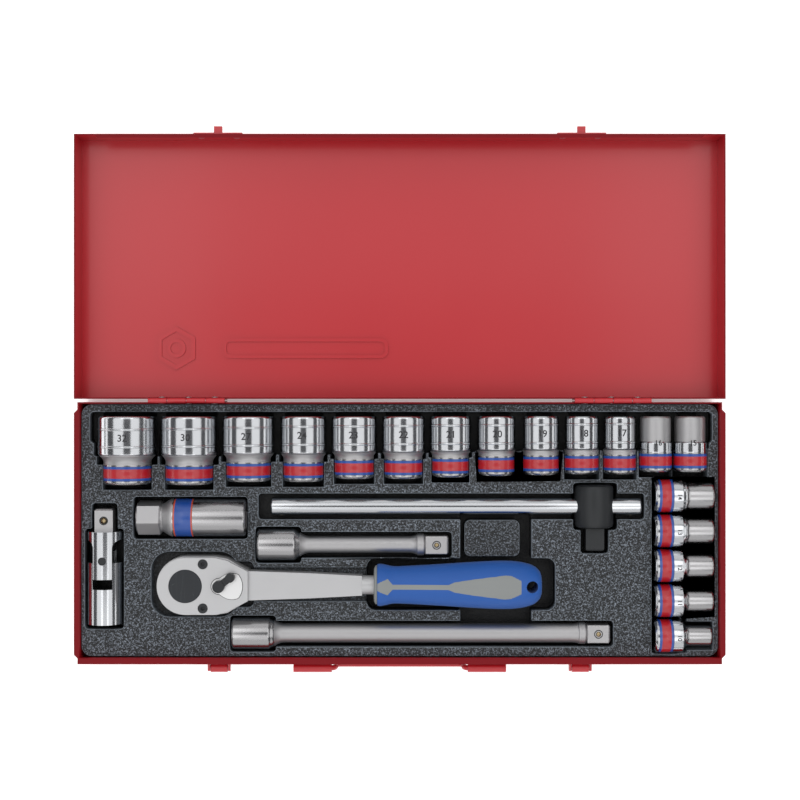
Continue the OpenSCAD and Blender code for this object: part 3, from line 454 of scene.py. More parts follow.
def band_paint(name, colour):
    """Enamel filled into a socket's groove."""
    finish = Finish(name, specular=0.5, coat=0.5, coat_roughness=0.12)
    finish.tone(colour, 0.06, 120.0, 0.34, 0.05)
    peel = noise_node(finish.tree, finish.place, 900.0, 2.0)
    finish.bump(peel, 0.01)
    return finish.material


def grip_plastic(name, colour, roughness):
    """Soft-touch moulded plastic with a fine erosion texture."""
    finish = Finish(name, specular=0.4, sheen=0.08)
    finish.tone(colour, 0.05, 30.0, roughness, 0.06)
    skin = noise_node(finish.tree, finish.place, 2400.0, 3.0, 0.7)
    finish.bump(skin, 0.03)
    return finish.material


def black_rubber():
    """Matt black rubber."""
    finish = Finish("black_rubber", specular=0.3)
    finish.tone("#101112", 0.2, 200.0, 0.75, 0.08)
    skin = noise_node(finish.tree, finish.place, 1500.0, 2.0)
    finish.bump(skin, 0.05)
    return finish.material


RED = red_enamel()
RIM_SHADE = deep_enamel()
INSERT = insert_plastic()
CHROME = polished_chrome()
SATIN = satin_chrome()
SMOOTH = smooth_satin()
MARK = size_mark()
BRIGHT = bright_plate()
FORGED = forged_satin()
BLACK = black_oxide()
GEAR = gear_back()
BALL = ball_steel()
ZINC = zinc_plate()
BAND_RED = band_paint("band_red", "#9A131C")
BAND_BLUE = band_paint("band_blue", "#173F86")
BAND_EDGE = band_paint("band_orange", "#A63E24")
GRIP_BLUE = grip_plastic("grip_blue", "#0D4890", 0.44)
GRIP_GREY = grip_plastic("grip_grey", "#757877", 0.5)
RUBBER = black_rubber()

# ---------------------------------------------------------------- making meshes


def shade(mesh, angle=32):
    """Smooth shading that keeps edges sharper than the angle."""
    mesh.polygons.foreach_set("use_smooth", [True] * len(mesh.polygons))
    mesh.set_sharp_from_angle(angle=math.radians(angle))


def add_piece(name, mesh, body, replaced=()):
    """A finished mesh as a piece that rides on a body."""
    piece = bpy.data.objects.new(name, mesh)
    SCENE.collection.objects.link(piece)
    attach(piece, body)
    if replaced:
        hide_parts(*replaced)
    return piece


def mesh_from(name, points, faces, materials, numbers=None, angle=32):
    """A mesh in metres from points in millimetres, faces turned outwards."""
    mesh = bpy.data.meshes.new(name)
    mesh.from_pydata([[c * MM for c in p] for p in points], [], faces)
    for material in materials:
        mesh.materials.append(material)
    if numbers is not None:
        mesh.polygons.foreach_set("material_index", numbers)
    work = bmesh.new()
    work.from_mesh(mesh)
    bmesh.ops.remove_doubles(work, verts=work.verts, dist=1e-7)
    bmesh.ops.recalc_face_normals(work, faces=work.faces)
    work.to_mesh(mesh)
    work.free()
    shade(mesh, angle)
    return mesh


def angles(count=AROUND):
    """Angles of evenly spaced points round a circle."""
    return [2 * math.pi * i / count for i in range(count)]


def round_section(radius):
    """A circle of that radius."""
    return [(radius * math.cos(a), radius * math.sin(a)) for a in angles()]


def square_section(half, corner=1.36):
    """A square; its corners are cut to a circle of corner times half."""
    found = []
    for a in angles():
        reach = min(half / max(abs(math.cos(a)), abs(math.sin(a))), corner * half)
        found.append((reach * math.cos(a), reach * math.sin(a)))
    return found


def hexagon_section(across, turn=0.0, corner=1.15):
    """A hexagon of that size across flats, corners slightly cut."""
    found = []
    for a in angles():
        part = (a - turn + math.pi / 6) % (math.pi / 3) - math.pi / 6
        reach = min(across / 2 / math.cos(part), corner * across / 2)
        found.append((reach * math.cos(a), reach * math.sin(a)))
    return found


def eased(points, radius, steps=4):
    """A line of (t, r) points with its inner corners rounded."""
    found = [points[0]]
    for before, corner, after in zip(points, points[1:], points[2:]):
        ends = []
        for other in (before, after):
            gap = math.dist(corner, other)
            share = min(radius, gap * 0.45) / gap if gap else 0
            ends.append([c + (o - c) * share for c, o in zip(corner, other)])
        guides = (ends[0], corner, ends[1])
        for i in range(steps + 1):
            s = i / steps
            weights = ((1 - s) ** 2, 2 * s * (1 - s), s * s)
            found.append(tuple(sum(w * p[k] for w, p in zip(weights, guides)) for k in (0, 1)))
    found.append(points[-1])
    return found


def along_y(x, y, z, sign=1):
    """Puts a section's (u, v) at distance t along Y."""
    return lambda u, v, t: (x + u, y + sign * t, z + v)


def along_x(x, y, z, sign=1):
    """Puts a section's (u, v) at distance t along X."""
    return lambda u, v, t: (x + sign * t, y + u, z + v)


def along_z(x, y, z, sign=1):
    """Puts a section's (u, v) at distance t along Z."""
    return lambda u, v, t: (x + u, y + v, z + sign * t)


def loft(name, sections, place, materials, closed=False, angle=32):
    """Skin over sections [(t, [(u, v)…], material number)…]; closed joins the last one to the first."""
    points, faces, numbers = [], [], []
    count = len(sections[0][1])
    for t, outline, _ in sections:
        points += [place(u, v, t) for u, v in outline]
    total = len(sections)
    for k in range(total if closed else total - 1):
        first, second = k * count, (k + 1) % total * count
        for i in range(count):
            j = (i + 1) % count
            faces.append((first + i, first + j, second + j, second + i))
            numbers.append(sections[k][2])
    if not closed:
        faces += [tuple(range(count)), tuple(range((total - 1) * count, total * count))]
        numbers += [sections[0][2], sections[-1][2]]
    return mesh_from(name, points, faces, materials, numbers, angle)


def rings(outline):
    """Round sections of a (t, r, material number) outline."""
    return [(t, round_section(r), number) for t, r, number in outline]


def turned(outline, number=0):
    """Round sections of a (t, r) outline in one material."""
    return rings([(t, r, number) for t, r in outline])


def eased_copy(node, name, material, width, steps=2, angle=38, turn_angle=32, clamp=True):
    """A copy of a CAD node with its edges rounded over."""
    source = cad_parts[node]
    work = bmesh.new()
    work.from_mesh(source.data)
    bmesh.ops.remove_doubles(work, verts=work.verts, dist=2e-6)
    bmesh.ops.dissolve_limit(work, angle_limit=math.radians(0.6), verts=work.verts, edges=work.edges)
    points = [tuple(v.co) for v in work.verts]
    work.verts.index_update()
    faces = [tuple(v.index for v in f.verts) for f in work.faces]
    work.free()
    mesh = bpy.data.meshes.new(name)
    mesh.from_pydata(points, [], faces)
    mesh.materials.append(material)
    holder = bpy.data.objects.new(name + "_work", mesh)
    SCENE.collection.objects.link(holder)
    ease = holder.modifiers.new("ease", "BEVEL")
    ease.width = width * MM
    ease.segments = steps
    ease.limit_method = "ANGLE"
    ease.angle_limit = math.radians(angle)
    ease.use_clamp_overlap = clamp
    ease.harden_normals = True
    shade(mesh, turn_angle)
    return settled(holder)


def settled(holder):
    """The plain mesh an object's modifiers make; the object goes."""
    bpy.context.view_layer.update()
    graph = bpy.context.evaluated_depsgraph_get()
    mesh = bpy.data.meshes.new_from_object(holder.evaluated_get(graph))
    name = holder.name
    bpy.data.objects.remove(holder)
    mesh.name = name.replace("_work", "")
    return mesh


# ---------------------------------------------------------------- case


RIM_SHADE_BAND = 5.0  # upward faces this close to a shell's top are its rims and hems, which get a darker enamel as painted shade


def make_case():
    """Folded sheet, hinge leaves, latches and handle brackets, with their edges eased."""
    sheet = [
        ("base_shell", "case", 0.35), ("lid_shell", "lid", 0.35), ("hinge_leaves_base", "case", 0.18),
        ("hinge_leaves_lid", "lid", 0.18), ("latch_plates", "case", 0.25), ("lid_catches", "lid", 0.25),
        ("handle_brackets", "case", 0.3), ("latch_lever_left", "latch_left", 0.3),
        ("latch_lever_right", "latch_right", 0.3),
    ]
    for node, body, width in sheet:
        mesh = eased_copy(node, "painted_" + node, RED, width, 3)
        if node in ("base_shell", "lid_shell"):
            # the rims and hems take the darker enamel: painted shade
            mesh.materials.append(RIM_SHADE)
            rim = high(node, 2) - RIM_SHADE_BAND
            for face in mesh.polygons:
                if face.center.z > rim * MM and face.normal.z > 0.3:
                    face.material_index = 1
        add_piece("painted_" + node, mesh, body, (node,))
    for node in ("hinge_pins", "latch_pins"):
        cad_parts[node].data.materials[0] = ZINC


def make_bail():
    """The bail: a rod bent twice at each side, its ends in the brackets."""
    node = "handle_bail"
    radius, y, end = span(node, 1) / 2, middle(node, 1), high(node, 0) - 0.5
    top, bottom = high(node, 2) - radius, low(node, 2) + radius
    half, bend = 44.0, 4.0
    path = [(-end, top), (-half - bend, top)]
    for cx, cz, start in ((-half - bend, top - bend, 90), (-half + bend, bottom + bend, 180)):
        step = -90 if start == 90 else 90
        path += [(cx + bend * math.cos(math.radians(start + step * i / 8)),
                  cz + bend * math.sin(math.radians(start + step * i / 8))) for i in range(1, 9)]
    path += [(-x, z) for x, z in reversed(path)]
    points, faces = [], []
    count = 24
    for i, (x, z) in enumerate(path):
        before, after = path[max(i - 1, 0)], path[min(i + 1, len(path) - 1)]
        dx, dz = after[0] - before[0], after[1] - before[1]
        length = math.hypot(dx, dz)
        nx, nz = -dz / length, dx / length
        for a in angles(count):
            c, s = radius * math.cos(a), radius * math.sin(a)
            points.append((x + nx * c, y + s, z + nz * c))
    for k in range(len(path) - 1):
        for i in range(count):
            j = (i + 1) % count
            faces.append((k * count + i, k * count + j, (k + 1) * count + j, (k + 1) * count + i))
    faces += [tuple(range(count)), tuple(range((len(path) - 1) * count, len(path) * count))]
    mesh = mesh_from("bail_rod", points, faces, [RED])
    add_piece("bail_rod", mesh, "handle", (node,))


def rivet_tree():
    """Geometry nodes: a domed rivet head on each point, turned along Y."""
    tree = bpy.data.node_groups.new("rivet_heads", "GeometryNodeTree")
    tree.interface.new_socket(name="Geometry", in_out="INPUT", socket_type="NodeSocketGeometry")
    for label, value in (("Head radius", 0.0024), ("Head height", 0.0009)):
        socket = tree.interface.new_socket(name=label, in_out="INPUT", socket_type="NodeSocketFloat")
        socket.default_value = value
    tree.interface.new_socket(name="Finish", in_out="INPUT", socket_type="NodeSocketMaterial")
    tree.interface.new_socket(name="Geometry", in_out="OUTPUT", socket_type="NodeSocketGeometry")
    given, result = tree.nodes.new("NodeGroupInput"), tree.nodes.new("NodeGroupOutput")
    ball = tree.nodes.new("GeometryNodeMeshUVSphere")
    ball.inputs["Segments"].default_value = 24
    ball.inputs["Rings"].default_value = 12
    ball.inputs["Radius"].default_value = 1.0
    size = tree.nodes.new("ShaderNodeCombineXYZ")
    place = tree.nodes.new("GeometryNodeInstanceOnPoints")
    real = tree.nodes.new("GeometryNodeRealizeInstances")
    smooth = tree.nodes.new("GeometryNodeSetShadeSmooth")
    finish = tree.nodes.new("GeometryNodeSetMaterial")
    link = tree.links.new
    link(given.outputs["Head radius"], size.inputs["X"])
    link(given.outputs["Head height"], size.inputs["Y"])
    link(given.outputs["Head radius"], size.inputs["Z"])
    link(given.outputs["Geometry"], place.inputs["Points"])
    link(ball.outputs["Mesh"], place.inputs["Instance"])
    link(size.outputs[0], place.inputs["Scale"])
    link(place.outputs[0], real.inputs[0])
    link(real.outputs[0], smooth.inputs["Geometry"])
    link(smooth.outputs[0], finish.inputs["Geometry"])
    link(given.outputs["Finish"], finish.inputs["Material"])
    link(finish.outputs[0], result.inputs[0])
    return tree


RIVETS = rivet_tree()


def nodes_mesh(name, tree, points, values):
    """The plain mesh that a geometry tree makes on loose points."""
    seed = bpy.data.meshes.new(name)
    seed.from_pydata([[c * MM for c in p] for p in points], [], [])
    holder = bpy.data.objects.new(name + "_work", seed)
    SCENE.collection.objects.link(holder)
    modifier = holder.modifiers.new("nodes", "NODES")
    modifier.node_group = tree
    for item in tree.interface.items_tree:
        if item.item_type == "SOCKET" and item.in_out == "INPUT" and item.name in values:
            modifier[item.identifier] = values[item.name]
    return settled(holder)


def make_rivets():
    """Rivet heads of the latches, catches, handle brackets and hinges."""
    latch_x, latch_z, latch_spread = middle("latch_lever_right", 0), middle("latch_pins", 2), 12.0
    bracket_x, bracket_z, bracket_spread = 59.3, 13.0, 8.0
    hinge_x, hinge_z, hinge_spread = 144.0, 21.2, 18.0
    catch_z, wall = 21.4, 1.0
    front, back = low("base_shell", 1), high("base_shell", 1)
    lid_near, lid_far = low("lid_shell", 1), high("lid_shell", 1)
    values = {"Head radius": 2.4 * MM, "Head height": 0.8 * MM, "Finish": ZINC}
    base, lid = [], []
    for side in (-1, 1):
        for end in (-1, 1):
            base.append((side * latch_x + end * latch_spread, front - wall, latch_z))
            base.append((side * bracket_x + end * bracket_spread, front - wall, bracket_z))
            for y in (lid_far + wall, lid_far - wall):
                lid.append((side * latch_x + end * latch_spread, y, catch_z))
        for place in (-1, 0, 1):
            lid.append((side * hinge_x + place * hinge_spread, lid_near + wall, hinge_z))
            base.append((side * hinge_x + place * hinge_spread, back - wall, hinge_z))
    for name, body, points, node in (("rivet_heads_base", "case", base, "rivets_base"),
                                     ("rivet_heads_lid", "lid", lid, "rivets_lid")):
        mesh = nodes_mesh(name, RIVETS, points, values)
        add_piece(name, mesh, body, (node,))


def make_insert():
    """The moulded insert with its pocket lips rounded."""
    mesh = eased_copy("insert_tray", "moulded_insert", INSERT, 0.5, 3, clamp=False)
    add_piece("moulded_insert", mesh, "case", ("insert_tray",))


# ---------------------------------------------------------------- sockets

# Opening across flats, diameter of the working end, diameter of the drive end and length.
ROW = [
    (32, 40.6, 32.5, 46), (30, 39.5, 32.3, 46), (27, 36.6, 30.2, 44), (24, 32.3, 27.3, 44),
    (23, 31.9, 26.8, 42), (22, 30.2, 26.0, 42), (21, 29.1, 25.0, 41), (20, 27.2, 24.9, 40),
    (19, 25.4, 24.5, 39.5), (18, 24.1, 23.3, 39), (17, 22.7, 22.3, 39), (16, 21.6, 22.4, 37.5),
    (15, 21.6, 22.8, 37.5),
]
COLUMN = [
    (14, 19.0, 22.6, 39.7), (13, 17.8, 22.5, 39.7), (12, 16.4, 22.4, 39.7), (11, 15.0, 22.4, 39.7),
    (10, 13.8, 22.4, 38.8),
]
DRIVE_HALF, DRIVE_DEPTH = 6.35, 16.0  # the female drive square
BAND_START, BAND_LENGTH = 2.5, 9.8
RING_DEPTH = 0.42  # how far a back-row body lies below its two raised rings
SOCKET_FINISHES = [CHROME, SATIN, SMOOTH]
POLISH, HAZE, SOFT = 0, 1, 2  # places in SOCKET_FINISHES
ROW_MARK, SLIM_MARK, COLUMN_MARK = 6.6, 5.0, 4.2  # heights of the size numerals


def bore(across, length, step, small=False):
    """Sections of a socket's inside, from the working end back to the drive end."""
    mouth = across / 2 / math.cos(math.pi / 6) + 0.25
    found = [
        (length, round_section(mouth), POLISH),
        (length - 0.8, hexagon_section(across), HAZE),
        (step, hexagon_section(across), HAZE),
    ]
    if small:
        found += turned([(step - 0.2, across / 2 - 0.3), (DRIVE_DEPTH, across / 2 - 0.3)], HAZE)
    found += [(DRIVE_DEPTH - 0.2 if small else step - 0.3, square_section(DRIVE_HALF), HAZE),
              (0.7, square_section(DRIVE_HALF), POLISH), (0.0, square_section(DRIVE_HALF + 0.55), POLISH)]
    return found


def ring_ridge(t, radius):
    """A raised half-round ring on a socket's body."""
    half = [(0.75, RING_DEPTH), (0.5, 0.12), (0.2, 0.0)]
    rise = [(t - a, radius - drop) for a, drop in half]
    return rise + [(t + a, radius - drop) for a, drop in reversed(half)]


def drive_end(d):
    """Outline of the drive end, with the groove that takes the painted band."""
    end = BAND_START + BAND_LENGTH
    return eased([(0, DRIVE_HALF + 1.2), (0, d - 1.3), (1.3, d - 0.06), (BAND_START, d)], 0.3) + [
        (BAND_START + 0.02, d - 0.3), (end - 0.02, d - 0.3), (end, d)]


def stamp_size(node, size, height, place, t, radius, direction):
    """Size numerals on top of a round body; direction, 1 or -1, is the way they run round it."""
    curve = bpy.data.curves.new(node + "_numerals", "FONT")
    curve.body = str(size)
    curve.size = height
    curve.offset = 0.08
    curve.extrude = 0.05
    curve.resolution_u = 3
    curve.align_x, curve.align_y = "CENTER", "CENTER"
    holder = bpy.data.objects.new(node + "_size_work", curve)
    SCENE.collection.objects.link(holder)
    mesh = settled(holder)
    work = bmesh.new()
    work.from_mesh(mesh)
    bmesh.ops.remove_doubles(work, verts=work.verts, dist=1e-4)
    bmesh.ops.triangulate(work, faces=work.faces)
    bmesh.ops.subdivide_edges(work, edges=[e for e in work.edges if e.calc_length() > 0.8], cuts=2)
    for v in work.verts:
        reach, turn = radius + v.co.z, direction * v.co.x / radius
        v.co = [c * MM for c in place(reach * math.sin(turn), reach * math.cos(turn), t + v.co.y)]
    bmesh.ops.recalc_face_normals(work, faces=work.faces)
    work.to_mesh(mesh)
    work.free()
    mesh.materials.clear()
    mesh.materials.append(MARK)
    add_piece(node + "_size", mesh, node)


def add_socket(node, outline, inside, place, drive_radius):
    """A socket's shell from its outline and its bore, and its painted band."""
    mesh = loft(node + "_shell", rings(outline) + inside, place, SOCKET_FINISHES, True)
    add_piece(node + "_shell", mesh, node, (node,))
    add_band(node, drive_radius, place)


def row_socket(spec):
    """A back-row socket: polished body with two rings, satin neck, banded drive end."""
    across, body_d, drive_d, length = spec
    node = "socket_%d" % across
    b, d = body_d / 2, drive_d / 2
    shoulder = length * 0.44
    neck = BAND_START + BAND_LENGTH + 1.0
    slim = across < 17
    satin_length = 17.2
    outline = [(t, r, SOFT) for t, r in drive_end(d)]
    if slim:
        step = length - satin_length
        waist = eased([(neck, d), (neck + 0.3, d - 0.15), (step - 0.6, d - 0.15), (step, b - 0.35)], 0.5)
        outline += [(t, r, POLISH) for t, r in waist]
        body = eased([(step + 0.1, b - 0.45), (length - 1.0, b - 0.45), (length, b - 1.4),
                      (length, across / 2 + 1.6)], 0.8)
        outline += [(t, r, HAZE) for t, r in body]
    else:
        reach = shoulder - 0.9 - neck
        hollow = min(0.55, 0.15 + (b - d) * 0.1)
        for i in range(13):
            s = i / 12
            radius = d + (b - d) * 0.62 * s * s - hollow * math.sin(math.pi * s)
            outline.append((neck + reach * s, radius, HAZE))
        near = length - (18.1 + (across - 20) * 0.2)
        far = length - (5.9 + (across - 20) * 0.25)
        low_r = b - RING_DEPTH
        body = eased([(shoulder - 0.6, b - 1.5), (shoulder, low_r), (near - 0.75, low_r)], 0.5)
        body += ring_ridge(near, b) + ring_ridge(far, b)
        body += eased([(far + 0.8, low_r), (length - 1.0, low_r), (length, b - 1.3),
                       (length, across / 2 + 2.0)], 0.8)
        outline += [(t, r, POLISH) for t, r in body]
    place = along_y(middle(node, 0), low(node, 1), middle(node, 2))
    add_socket(node, outline, bore(across, length, max(DRIVE_DEPTH, length * 0.45)), place, d)
    if slim:
        stamp_size(node, across, SLIM_MARK, place, 19.5, d - 0.13, 1)
    else:
        stamp_size(node, across, ROW_MARK, place, (near + far) / 2, b - 0.4, 1)


def column_socket(spec):
    """A slim socket of the right-hand column."""
    across, slim_d, drive_d, length = spec
    node = "socket_%d" % across
    b, d = slim_d / 2, drive_d / 2
    flare_start, flare_length, flare_out = 20.8, 2.6, 1.0
    collar = eased([(12.5, d), (18.6, d), (20.4, d - (d - b) * 0.55), (flare_start, b + flare_out)], 0.25)
    flare = [(flare_start + flare_length * i / 8, b + flare_out * (1 - i / 8) ** 2) for i in range(1, 9)]
    tail = eased([(24.0, b), (length - 0.8, b), (length, b - 0.8), (length, across / 2 + 1.3)], 0.7)
    outline = [(t, r, POLISH) for t, r in drive_end(d) + collar]
    outline += [(t, r, SOFT) for t, r in flare + tail]
    place = along_x(low(node, 0), middle(node, 1), middle(node, 2))
    add_socket(node, outline, bore(across, length, length - across, True), place, d)
    stamp_size(node, across, COLUMN_MARK, place, 15.8, d + 0.02, -1)


def add_band(node, d, place, start=BAND_START, length=BAND_LENGTH, edge=1.75, paints=None):
    """A painted band that fills a groove: the first paint at its two edges, the second between them."""
    paints = paints or (BAND_BLUE, BAND_RED)
    outer, inner = d - 0.04, d - 0.45
    first, last = start + 0.06, start + length - 0.06
    outline = [
        (first, inner, 0), (first, outer - 0.1, 0), (first + 0.15, outer, 0), (first + edge - 0.05, outer, 0),
        (first + edge, outer - 0.06, 1), (first + edge + 0.08, outer - 0.02, 1),
        (last - edge - 0.08, outer - 0.02, 1), (last - edge, outer - 0.06, 0), (last - edge + 0.05, outer, 0),
        (last - 0.15, outer, 0), (last, outer - 0.1, 0), (last, inner, 0),
    ]
    mesh = loft(node + "_band", rings(outline), place, list(paints), True)
    add_piece(node + "_band", mesh, node)


# ---------------------------------------------------------------- other tools


BAR_HALF, BAR_LENGTH = 6.15, 15.3  # the male drive square


def bar_square(start):
    """Sections of a male drive square that begins at start."""
    end = start + BAR_LENGTH
    return [(start, square_section(BAR_HALF), 0), (end - 1.1, square_section(BAR_HALF), 0),
            (end - 0.35, square_section(BAR_HALF - 0.55), 0), (end, square_section(BAR_HALF - 1.0), 0)]


def female_square(depth=DRIVE_DEPTH):
    """Sections of a blind square hole, from its floor to the mouth at t = 0."""
    return [(depth, square_section(DRIVE_HALF), 0), (0.7, square_section(DRIVE_HALF), 0),
            (0.0, square_section(DRIVE_HALF + 0.5), 0)]


def extension(node, shank_d, ball_node, body, ball_body):
    """An extension bar: headed socket end, flared neck, collar and square."""
    x, y, z = low(node, 0), middle(node, 1), middle(node, 2)
    h, s, c = span(node, 2) / 2, shank_d / 2, 7.5
    root = span(node, 0) - BAR_LENGTH
    head_length, flare_length, flare_out = 28.2, 7.6, 3.1
    head = eased([(0, h - 2.6), (0, h - 1.3), (1.1, h - 0.06), (25.2, h - 0.06), (26.6, h - 1.0),
                  (head_length, s + flare_out)], 0.8)
    flare = [(head_length + flare_length * k / 10, s + flare_out * (1 - k / 10) ** 2) for k in range(1, 11)]
    swell = [(root - 11 + 5 * k / 8, s + (c - 0.5 - s) * (k / 8) ** 2) for k in range(9)]
    collar = eased([(root - 5.6, c - 0.1), (root - 1.3, c - 0.05), (root - 0.2, c - 1.4), (root, 7.2)], 0.6)
    sections = female_square() + turned(head, 1) + turned(flare + [(42.0, s)] + swell + collar)
    sections += bar_square(root)
    mesh = loft(node + "_bar", sections, along_x(x, y, z), [SATIN, SMOOTH], False)
    add_piece(node + "_bar", mesh, body, (node,))
    add_ball(ball_node, ball_body, body, "z", 1, z + BAR_HALF)


def add_ball(node, body, holder, axis, sign, face):
    """A ball gets its finish, and a dark crimped ring where it comes out of the steel."""
    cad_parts[node].data.materials[0] = BALL
    outline = [(-0.3, 2.3), (0.05, 2.3), (0.12, 2.6), (0.08, 2.95), (-0.3, 3.05)]
    if axis == "z":
        place = along_z(middle(node, 0), middle(node, 1), face, sign)
    else:
        place = along_y(middle(node, 0), face, middle(node, 2), sign)
    mesh = loft(node + "_ring", turned(outline), place, [BLACK], True)
    add_piece(node + "_ring", mesh, holder)


def make_rod():
    """The sliding bar, polished, with a ball near each end."""
    node = "t_bar_rod"
    x, y, z = low(node, 0), middle(node, 1), middle(node, 2)
    r, length, ease, core = span(node, 2) / 2, span(node, 0), 0.9, 1.5
    outline = eased([(0, core), (0, r - ease), (ease, r), (length - ease, r), (length, r - ease),
                     (length, core)], 0.5)
    mesh = loft("polished_rod", turned(outline), along_x(x, y, z), [CHROME], False)
    add_piece("polished_rod", mesh, "t_rod", (node,))
    for ball, body in (("t_bar_ball_left", "t_ball_left"), ("t_bar_ball_right", "t_ball_right")):
        add_ball(ball, body, "t_rod", "y", -1, y - r + 0.05)


def make_t_head():
    """The T-bar's black head, with a ball in its square."""
    mesh = eased_copy("t_head", "black_t_head", BLACK, 0.5, 3)
    add_piece("black_t_head", mesh, "t_head", ("t_head",))
    add_ball("t_head_ball", "t_head_ball", "t_head", "z", -1, middle("t_head", 2) - BAR_HALF)


def make_spark_plug_socket():
    """Spark plug socket: hexagon, neck and long satin body with a painted band."""
    node = "spark_plug_socket"
    place = along_x(low(node, 0), middle(node, 1), middle(node, 2))
    length, turn = span(node, 0), math.radians(15)
    r, band_start, band_length = 12.96, 25.5, 13.1
    band_end, groove_r = band_start + band_length, r - 0.26
    nut, jaws = hexagon_section(20.6, turn), hexagon_section(20.8, turn)
    hexagon = turned([(0.0, 8.6), (0.0, 9.7)])
    hexagon += [(0.9, nut, 0), (15.6, nut, 0), (16.6, hexagon_section(19.0, turn), 0)]
    neck = eased([(17.0, 9.6), (18.0, 9.8), (21.8, 12.2), (23.4, 12.8), (24.6, r)], 0.8)
    groove = [(band_start - 0.1, r), (band_start, groove_r), (band_end, groove_r), (band_end + 0.1, r)]
    tail = eased([(39.5, r), (length - 1.0, r), (length, 12.0), (length, 11.6)], 0.8)
    inside = turned([(length, 12.0)]) + [(length - 0.8, jaws, 0), (24.0, jaws, 0)]
    inside += turned([(23.8, 5.5), (DRIVE_DEPTH, 5.5)]) + female_square(DRIVE_DEPTH - 0.2)
    sections = hexagon + turned(neck[:-1]) + turned(neck[-1:] + groove + tail, 1) + inside
    mesh = loft("spark_plug_shell", sections, place, [SATIN, SMOOTH], True)
    add_piece("spark_plug_shell", mesh, "spark_plug", (node,))
    add_band("spark_plug", r, place, band_start, band_length, 1.0, (BAND_EDGE, BAND_BLUE))
    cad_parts["spark_plug_insert"].data.materials[0] = RUBBER


def make_joint():
    """Universal joint: two chrome yokes, one with a satin square, and their block, pins and ball."""
    square_root = high("joint_drive_yoke", 1) - BAR_LENGTH + 0.1
    yokes = [("joint_drive_yoke", "joint_drive", 0.55), ("joint_socket_yoke", "joint_socket", 0.6)]
    for node, body, width in yokes:
        mesh = eased_copy(node, "eased_" + node, CHROME, width, 3, turn_angle=16)
        mesh.materials.append(SATIN)
        for face in mesh.polygons:
            if face.center.y > square_root * MM:
                face.material_index = 1
        add_piece("eased_" + node, mesh, body, (node,))
    for node, width in (("joint_block", 0.5), ("joint_pins", 0.4)):
        mesh = eased_copy(node, "eased_" + node, BLACK, width, 3)
        add_piece("eased_" + node, mesh, "joint_centre", (node,))
    add_ball("joint_ball", "joint_ball", "joint_drive", "z", 1, middle("joint_drive_yoke", 2) + BAR_HALF)


def track_outline(grow):
    """The track under the lever, round about the lever's shaft and drawn out towards the grip."""
    shaft, near, far = 22.8, 5.2, 15.6
    found = []
    for a in angles():
        wide = max(0.0, math.cos(a)) ** 0.7
        reach = near + (far - near) * min(1.0, 1.25 * wide * wide) * (0.5 + 0.5 * wide)
        found.append((shaft + (reach + grow) * math.cos(a), (reach + grow) * math.sin(a)))
    return found


def make_ratchet():
    """Ratchet body, cover, screws, lever with its track, drive with its ball, and pawl."""
    parts = [
        ("ratchet_body", "ratchet", FORGED, 0.9, "satin_chrome"),
        ("ratchet_cover", "ratchet", FORGED, 0.5, "satin_chrome"),
        ("ratchet_screws", "ratchet", BLACK, 0.25, "black_steel"),
        ("ratchet_lever", "lever", BLACK, 0.7, "black_steel"),
        ("ratchet_anvil", "drive", GEAR, 0.35, "black_steel"),
        ("ratchet_pawl", "pawl", BLACK, 0.3, "black_steel"),
    ]
    for node, body, material, width, slot in parts:
        mesh = eased_copy(node, "eased_" + node, material, width, 3, turn_angle=14)
        add_piece("eased_" + node, mesh, body, (node,))
    x, y, z = middle("ratchet_anvil", 0), middle("ratchet_anvil", 1), high("ratchet_cover", 2)
    tracks = [("lever_track_edge", 0.45, 0.04, BLACK, "black_steel"),
              ("lever_track", 0.0, 0.1, BRIGHT, "satin_chrome")]
    sunk, edge = 0.2, 0.03
    for name, grow, height, material, slot in tracks:
        fan = track_outline(grow)
        sections = [(-sunk, fan, 0), (height - edge, fan, 0), (height, track_outline(grow - edge), 0)]
        mesh = loft(name, sections, along_z(x, y, z), [material], False)
        add_piece(name, mesh, "ratchet")
    add_ball("ratchet_ball", "drive_ball", "drive", "y", 1, y + BAR_HALF)


GRIP_START = 2.3  # how far the grip's overmould begins beyond its collar


def grip_radius(t):
    """Radius of the grip at distance t from its collar, along a smooth curve."""
    knots = [(GRIP_START, 13.9), (4.2, 14.25), (8, 13.6), (13, 12.6), (22, 12.8), (44, 14.0), (66, 15.4),
             (84, 16.25), (94, 16.05), (102, 14.9), (109, 12.3), (113, 8.3)]
    if t <= knots[0][0]:
        return knots[0][1]
    for k in range(len(knots) - 1):
        if knots[k][0] <= t <= knots[k + 1][0]:
            p0, p1 = knots[max(k - 1, 0)], knots[k]
            p2, p3 = knots[k + 1], knots[min(k + 2, len(knots) - 1)]
            s = (t - p1[0]) / (p2[0] - p1[0])
            m1 = (p2[1] - p0[1]) / (p2[0] - p0[0]) * (p2[0] - p1[0])
            m2 = (p3[1] - p1[1]) / (p3[0] - p1[0]) * (p2[0] - p1[0])
            return ((2 * s**3 - 3 * s**2 + 1) * p1[1] + (s**3 - 2 * s**2 + s) * m1
                    + (3 * s**2 - 2 * s**3) * p2[1] + (s**3 - s**2) * m2)
    return knots[-1][1]


